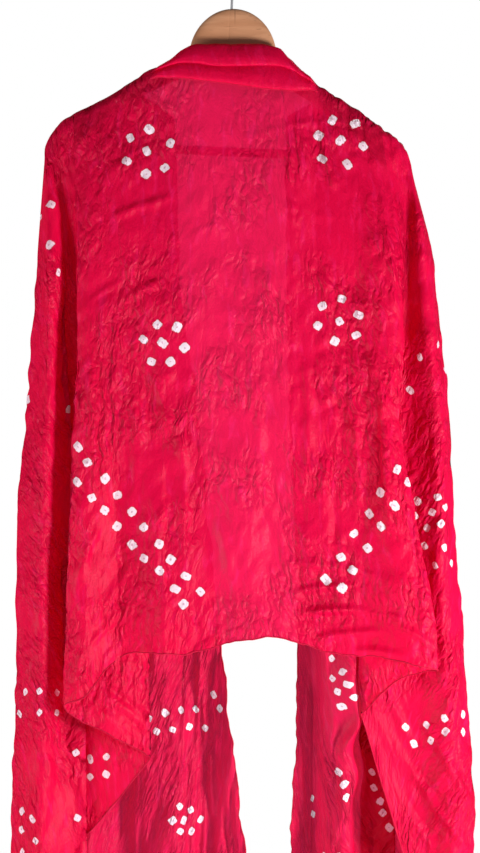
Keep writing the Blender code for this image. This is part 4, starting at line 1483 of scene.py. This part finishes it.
@dataclass
class BandhaniCloth:
    """The draped cloth: joined, tied, crushed and hemmed."""

    drape: Drape
    wrinkles: Wrinkles
    dots: TiedDots
    eye: Vector
    flat_size: tuple[float, float] = (0.82, 2.24)
    eye_to_back: float = 2.4
    hem_radius: float = 0.0008
    # Painted shade: over the wood behind the back, just under the collar's edge, and all over the fronts.
    wood_shade: float = 0.50
    collar_shade: float = 0.60
    collar_reach: float = 0.014
    collar_calm: float = 0.75
    front_shade: float = 0.28
    seed: int = 11

    def seen_from_eye(self, points: np.ndarray) -> np.ndarray:
        """Gives x and z of points as the camera sees them on the plane of the back."""
        scale = self.eye_to_back / (points[:, 1] - self.eye.y)
        x = self.eye.x + (points[:, 0] - self.eye.x) * scale
        z = self.eye.z + (points[:, 2] - self.eye.z) * scale
        return np.stack([x, z], axis=1)

    def join(self) -> tuple[Fabric, dict[str, np.ndarray]]:
        """Joins the back, sides, fronts and collar.

        Returns:
            The fabric, and the point numbers of each sheet by name.
        """
        drape = self.drape
        loom = Loom()
        number = {}
        backs = {
            -1: drape.side(LEFT_BACK, -1, -1, ((7, Part.BACK), (12, Part.LEFT_RETURN),
                                               (16, Part.LEFT_CASCADE), (24, Part.LEFT_COLUMN))),
            1: drape.side(RIGHT_BACK, 1, -1, ((7, Part.BACK), (15, Part.RIGHT_RETURN),
                                              (24, Part.RIGHT_COLUMN))),
        }
        fronts = {
            -1: drape.side(LEFT_FRONT, -1, 1, ((24, Part.LEFT_FRONT),)),
            1: drape.side(RIGHT_FRONT, 1, 1, ((24, Part.RIGHT_FRONT),)),
        }
        centre = drape.centre(backs[-1].points[0], backs[1].points[0])
        centre.measure(0.0, 1)
        middle = centre.flat[-1, :, 0] / 2
        centre.flat[:, :, 0] -= middle
        for side, name in ((-1, "left"), (1, "right")):
            back, front = backs[side], fronts[side]
            back.measure(side * middle, side)
            number[name + " back"] = loom.add(back, np.full(back.points.shape[:2], -1), side > 0)
            shared = np.full(front.points.shape[:2], -1)
            shared[:, 0] = number[name + " back"][:, 0]
            shared[-1] = number[name + " back"][-1]
            front.measure(np.zeros(front.points.shape[1]), side)
            width = front.flat[-1, :, 0].copy()
            front.flat[:, :, 0] = back.flat[-1, :, 0] + width - front.flat[:, :, 0]
            number[name + " front"] = loom.add(front, shared, side < 0)
        shared = np.full(centre.points.shape[:2], -1)
        shared[0] = number["left back"][0]
        shared[-1] = number["right back"][0]
        number["centre"] = loom.add(centre, shared, True)
        collar = drape.collar(centre)
        collar.measure(0.0, 1)
        collar.flat[:, :, 0] -= middle[0]
        collar.flat[:, :, 1] *= -1
        shared = np.full(collar.points.shape[:2], -1)
        shared[:, 0] = number["centre"][:, 0]
        number["collar"] = loom.add(collar, shared, False)
        return loom.finish(), number

    def crush(self, fabric: Fabric, middles: np.ndarray) -> None:
        """Moves the fabric's points off the smooth drape.

        Args:
            fabric: the fabric, changed in place.
            middles: the middle of each dot.
        """
        wrinkles = self.wrinkles
        points = fabric.points
        out = fabric.normals()
        seen = self.seen_from_eye(points)
        height = wrinkles.crushed(points)
        part = np.zeros(len(points), int)
        for corner in fabric.faces.T:
            part[corner] = fabric.part
        for crease in CREASES:
            own = part == crease.part.value
            height[own] += wrinkles.along(crease, seen[own, 0], seen[own, 1])
        height[part == Part.COLLAR.value] *= wrinkles.collar_share
        for middle in middles:
            near = np.flatnonzero(np.abs(points - middle).max(axis=1) < 3 * wrinkles.pucker_radius)
            away = np.linalg.norm(points[near] - middle, axis=1) / wrinkles.pucker_radius
            height[near] += wrinkles.pucker * np.exp(-(away**2)) * np.sign(-out[near, 1])
        free = smoothstep(-wrinkles.free_below, -wrinkles.free_below + 0.1, -points[:, 2])
        inward = np.where(free > 0, wrinkles.inward_limit + free * 0.01, wrinkles.inward_limit)
        height = np.maximum(height, -inward)
        moved = points + out * height[:, None]
        self.fold_fronts(moved, points, part, free)
        fabric.points = moved

    def fold_fronts(self, moved: np.ndarray, points: np.ndarray, part: np.ndarray, free: np.ndarray) -> None:
        """Gives the front panels their upright folds and lines, and twists the right one's strip.

        Args:
            moved: the crushed points, changed in place.
            points: the smooth points.
            part: the part of the cloth that each point is on.
            free: how freely each point hangs, from 0 to 1.
        """
        wrinkles = self.wrinkles
        x, depth = points[:, 0], -points[:, 2]
        front = (part == Part.LEFT_FRONT.value) | (part == Part.RIGHT_FRONT.value)
        wander = math.tau * wrinkles.field(points, (3.0, 0, 2.2), 2.7)
        folds = np.sin(x * math.tau / wrinkles.front_pitch + wander)
        folds *= 1 - 0.5 * smoothstep(0.82, 0.92, depth)
        edge = np.minimum(smoothstep(0, 0.03, wrinkles.front_half_width - np.abs(x)), free)
        moved[:, 1] += np.where(front, wrinkles.front_fold * folds * edge, 0)
        upright = np.abs(wrinkles.field(points, (95, 0, 7), 6.3))
        upright = upright + 0.6 * wrinkles.field(points, (170, 0, 16), 21.1)
        moved[:, 1] += np.where(front, wrinkles.front_line * upright * edge, 0)
        strip = (part == Part.RIGHT_FRONT.value) & (depth > wrinkles.strip_from)
        beside = np.exp(-(((x - wrinkles.strip_x) / wrinkles.strip_half_width) ** 2))
        beside = beside * smoothstep(wrinkles.strip_from, wrinkles.strip_from + 0.08, depth) * strip
        moved[:, 1] -= beside * wrinkles.twist * np.abs(wrinkles.field(points, (48, 0, 20), 14.2))
        moved[:, 0] += beside * wrinkles.twist * wrinkles.field(points, (20, 0, 24), 17.7)

    def calm_and_shade_map(self, fabric: Fabric, collar_edge: np.ndarray) -> np.ndarray:
        """Works out where the cloth is smoother, and where shade is painted on it.

        Args:
            fabric: the crushed fabric.
            collar_edge: the points of the collar's lower edge.

        Returns:
            The smoothness and the painted shade at each face corner, from 0 to 1.
        """
        hanger = self.drape.hanger
        part = fabric.part[:, None]
        corner = fabric.points[fabric.faces]
        level = corner @ np.array(Matrix.Rotation(HANGER_TILT, 3, "Y")) - (0, 0, WOOD_TOP_Z)
        x, z = level[..., 0], level[..., 2]
        above_foot = smoothstep(-0.004, 0.006, z - hanger.bottom(x))
        below_top = smoothstep(-0.020, 0.002, hanger.top(x) - z)
        inside = smoothstep(-0.004, 0.006, hanger.half_span - np.abs(x))
        shade = np.where(part == Part.BACK.value, self.wood_shade * above_foot * below_top * inside, 0)
        order = np.argsort(collar_edge[:, 0])
        edge_x, edge_z = collar_edge[order, 0], collar_edge[order, 2]
        drop = np.interp(corner[..., 0], edge_x, edge_z) - corner[..., 2]
        near = np.exp(-((np.clip(drop, 0, None) / self.collar_reach) ** 2))
        near = near * (np.abs(corner[..., 0] - edge_x.mean()) < np.ptp(edge_x) / 2)
        shade = np.maximum(shade, np.where(part == Part.BACK.value, self.collar_shade * near, 0))
        fronts = (part == Part.LEFT_FRONT.value) | (part == Part.RIGHT_FRONT.value)
        shade = np.where(fronts, self.front_shade, shade)
        calm = np.where(part == Part.COLLAR.value, self.collar_calm, 0.0)
        return np.stack(np.broadcast_arrays(calm, shade), axis=-1)

    def to_object(self, fabric: Fabric, maps: dict[str, np.ndarray],
                  finish: bpy.types.Material) -> bpy.types.Object:
        """Makes the fabric's object, with its maps.

        Args:
            fabric: the crushed fabric.
            maps: values at each face corner, by the map's name.
            finish: the silk.

        Returns:
            The cloth.
        """
        kept = fabric.faces != np.roll(fabric.faces, 1, axis=1)
        mesh = bpy.data.meshes.new("bandhani_sheet")
        faces = [row[k].tolist() for row, k in zip(fabric.faces, kept)]
        mesh.from_pydata(fabric.points.tolist(), [], faces)
        for layer, values in (("cloth", fabric.flat), *maps.items()):
            uv = mesh.uv_layers.new(name=layer)
            uv.data.foreach_set("uv", values[kept].astype(np.float32).ravel())
        mesh.shade_smooth()
        mesh.materials.append(finish)
        made = bpy.data.objects.new("bandhani_sheet", mesh)
        bpy.context.scene.collection.objects.link(made)
        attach(made, BODY)
        mesh.calc_loop_triangles()
        LOG.info("sheet: %d triangles", len(mesh.loop_triangles))
        return made

    def hem(self, name: str, line: np.ndarray, finish: bpy.types.Material,
            rng: np.random.Generator) -> bpy.types.Object:
        """Rolls a narrow hem along an edge.

        Args:
            name: the hem's name.
            line: the points of the edge.
            finish: the hem's material.
            rng: the seeded source of small unevenness.

        Returns:
            The hem.
        """
        apart = np.linalg.norm(np.diff(line, axis=0), axis=1)
        line = line[np.concatenate([[True], apart > 1e-5])]
        uneven = 1 + 0.14 * np.convolve(rng.normal(0, 1, len(line)), np.ones(5) / 2.2, "same")
        made = tube(name, line, self.hem_radius * np.clip(uneven, 0.7, 1.4), 8)
        made.data.materials.append(finish)
        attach(made, BODY)
        return made

    def build(self, silk: bpy.types.Material, rolled: bpy.types.Material,
              rests_on: Sequence[bpy.types.Object]) -> None:
        """Builds the whole cloth.

        Args:
            silk: the cloth's finish.
            rolled: the hem's finish.
            rests_on: what the cloth hangs on; not used.
        """
        rng = np.random.default_rng(self.seed)
        fabric, number = self.join()
        LOG.info("fabric: %d points, %d faces", len(fabric.points), len(fabric.faces))
        dot_map, middles = self.dots.tie(fabric, self.seen_from_eye(fabric.centres()), rng)
        self.crush(fabric, middles)
        at = fabric.points
        calm_and_shade = self.calm_and_shade_map(fabric, at[number["collar"][:, -1]])
        cloth = self.to_object(fabric, {"dots": dot_map, "calm_and_shade": calm_and_shade}, silk)
        lower = np.concatenate([
            at[number["left front"][:, -1]], at[number["left back"][::-1, -1]], at[number["centre"][:, -1]],
            at[number["right back"][:, -1]], at[number["right front"][::-1, -1]],
        ])
        upper = np.concatenate([
            at[number["left front"][0, :0:-1]], at[number["collar"][:, -1]], at[number["right front"][0, 1:]],
        ])
        hems = [self.hem("long_hem", lower, rolled, rng), self.hem("neck_hem", upper, rolled, rng)]
        for obj in (cloth, *hems):
            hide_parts("bandhani_cloth")
            LOG.info("cloth piece: %s", obj.name)


# Studio


@dataclass
class SoftStudio:
    """A plain pale floor, soft lamps, white surroundings and the camera."""

    eye: Vector
    focal: float = 83.7
    surround: float = 0.13
    key_power: float = 49.0
    fill_power: float = 27.0
    back_power: float = 5.0
    middle: tuple[float, float, float] = (0.0, 0.0, -0.80)
    floor_glow: float = 0.35
    floor_half_size: float = 3.0
    floor_z: float = -1.75

    def lamp(self, name: str, place: Sequence[float], aim: Sequence[float], size: float,
             power: float) -> None:
        """Adds a square soft lamp.

        Args:
            name: the lamp's name.
            place: where it stands.
            aim: what it points at.
            size: the length of its sides.
            power: its power in watts.
        """
        light = bpy.data.lights.new(name, "AREA")
        light.size = size
        light.energy = power
        lamp = bpy.data.objects.new(name, light)
        lamp.location = place
        lamp.rotation_euler = (Vector(aim) - Vector(place)).to_track_quat("-Z", "Y").to_euler()
        lamp.visible_camera = False
        bpy.context.scene.collection.objects.link(lamp)

    def light(self) -> None:
        """Lights the scene. The surroundings are white to the camera and dimmer to the cloth."""
        self.lamp("key softbox", (1.25, -1.00, -1.05), self.middle, 0.4, self.key_power)
        self.lamp("fill softbox", (-1.65, -0.65, -0.95), self.middle, 0.7, self.fill_power)
        self.lamp("back softbox", (0.1, 1.5, 0.15), (0.0, 0.0, -0.45), 1.4, self.back_power)
        world = bpy.data.worlds.new("white studio")
        world.use_nodes = True
        world.node_tree.nodes.clear()
        kit = NodeKit(world.node_tree)
        seen = kit.add("Background")
        seen.inputs["Color"].default_value = (1, 1, 1, 1)
        felt = kit.add("Background")
        felt.inputs["Color"].default_value = (1, 1, 1, 1)
        felt.inputs["Strength"].default_value = self.surround
        mix = kit.add("MixShader")
        kit.link(kit.add("LightPath").outputs["Is Camera Ray"], mix.inputs[0])
        kit.link(felt.outputs[0], mix.inputs[1])
        kit.link(seen.outputs[0], mix.inputs[2])
        kit.link(mix.outputs[0], kit.add("OutputWorld").inputs[0])
        bpy.context.scene.world = world
        bpy.context.scene.view_settings.view_transform = "Standard"

    def floor(self) -> None:
        """Lays the pale floor, well below the hanging cloth."""
        made, kit, output = blank_material("pale floor")
        shader = kit.add("BsdfPrincipled")
        shader.inputs["Base Color"].default_value = (0.86, 0.86, 0.86, 1)
        shader.inputs["Roughness"].default_value = 0.8
        shader.inputs["Emission Color"].default_value = (1, 1, 1, 1)
        shader.inputs["Emission Strength"].default_value = self.floor_glow
        kit.link(shader.outputs[0], output.inputs[0])
        half, z = self.floor_half_size, self.floor_z
        corners = [(-half, -half, z), (half, -half, z), (half, half, z), (-half, half, z)]
        floor = new_mesh("pale_floor", np.array(corners), [(0, 1, 2, 3)])
        floor.data.materials.append(made)

    def camera(self) -> None:
        """Sets the camera level and square to the back of the cloth."""
        camera = bpy.data.cameras.new("camera")
        camera.lens = self.focal
        obj = bpy.data.objects.new("camera", camera)
        obj.location = self.eye
        obj.rotation_euler = (math.pi / 2, 0, 0)
        bpy.context.scene.collection.objects.link(obj)
        bpy.context.scene.camera = obj


def main() -> None:
    """Builds the whole scene."""
    logging.basicConfig(level=logging.INFO, format="%(name)s: %(message)s")
    eye = Vector((0.0073, -2.42, -0.5764))
    hanger = ClothesHanger()
    beech = VarnishedBeech().build()
    yoke = hanger.build_yoke(beech)
    bar = hanger.build_bar(beech)
    hook = hanger.dress_hook(BrightSteel().build())
    for piece in (yoke, bar, hook):
        LOG.info("hanger piece: %s", piece.name)
    cloth = BandhaniCloth(Drape(hanger), Wrinkles(), TiedDots(), eye)
    cloth.build(SheerSilk().build(), HemFinish().build(), [yoke, bar])
    studio = SoftStudio(eye)
    studio.light()
    studio.floor()
    studio.camera()


if __name__ == "__main__":
    main()
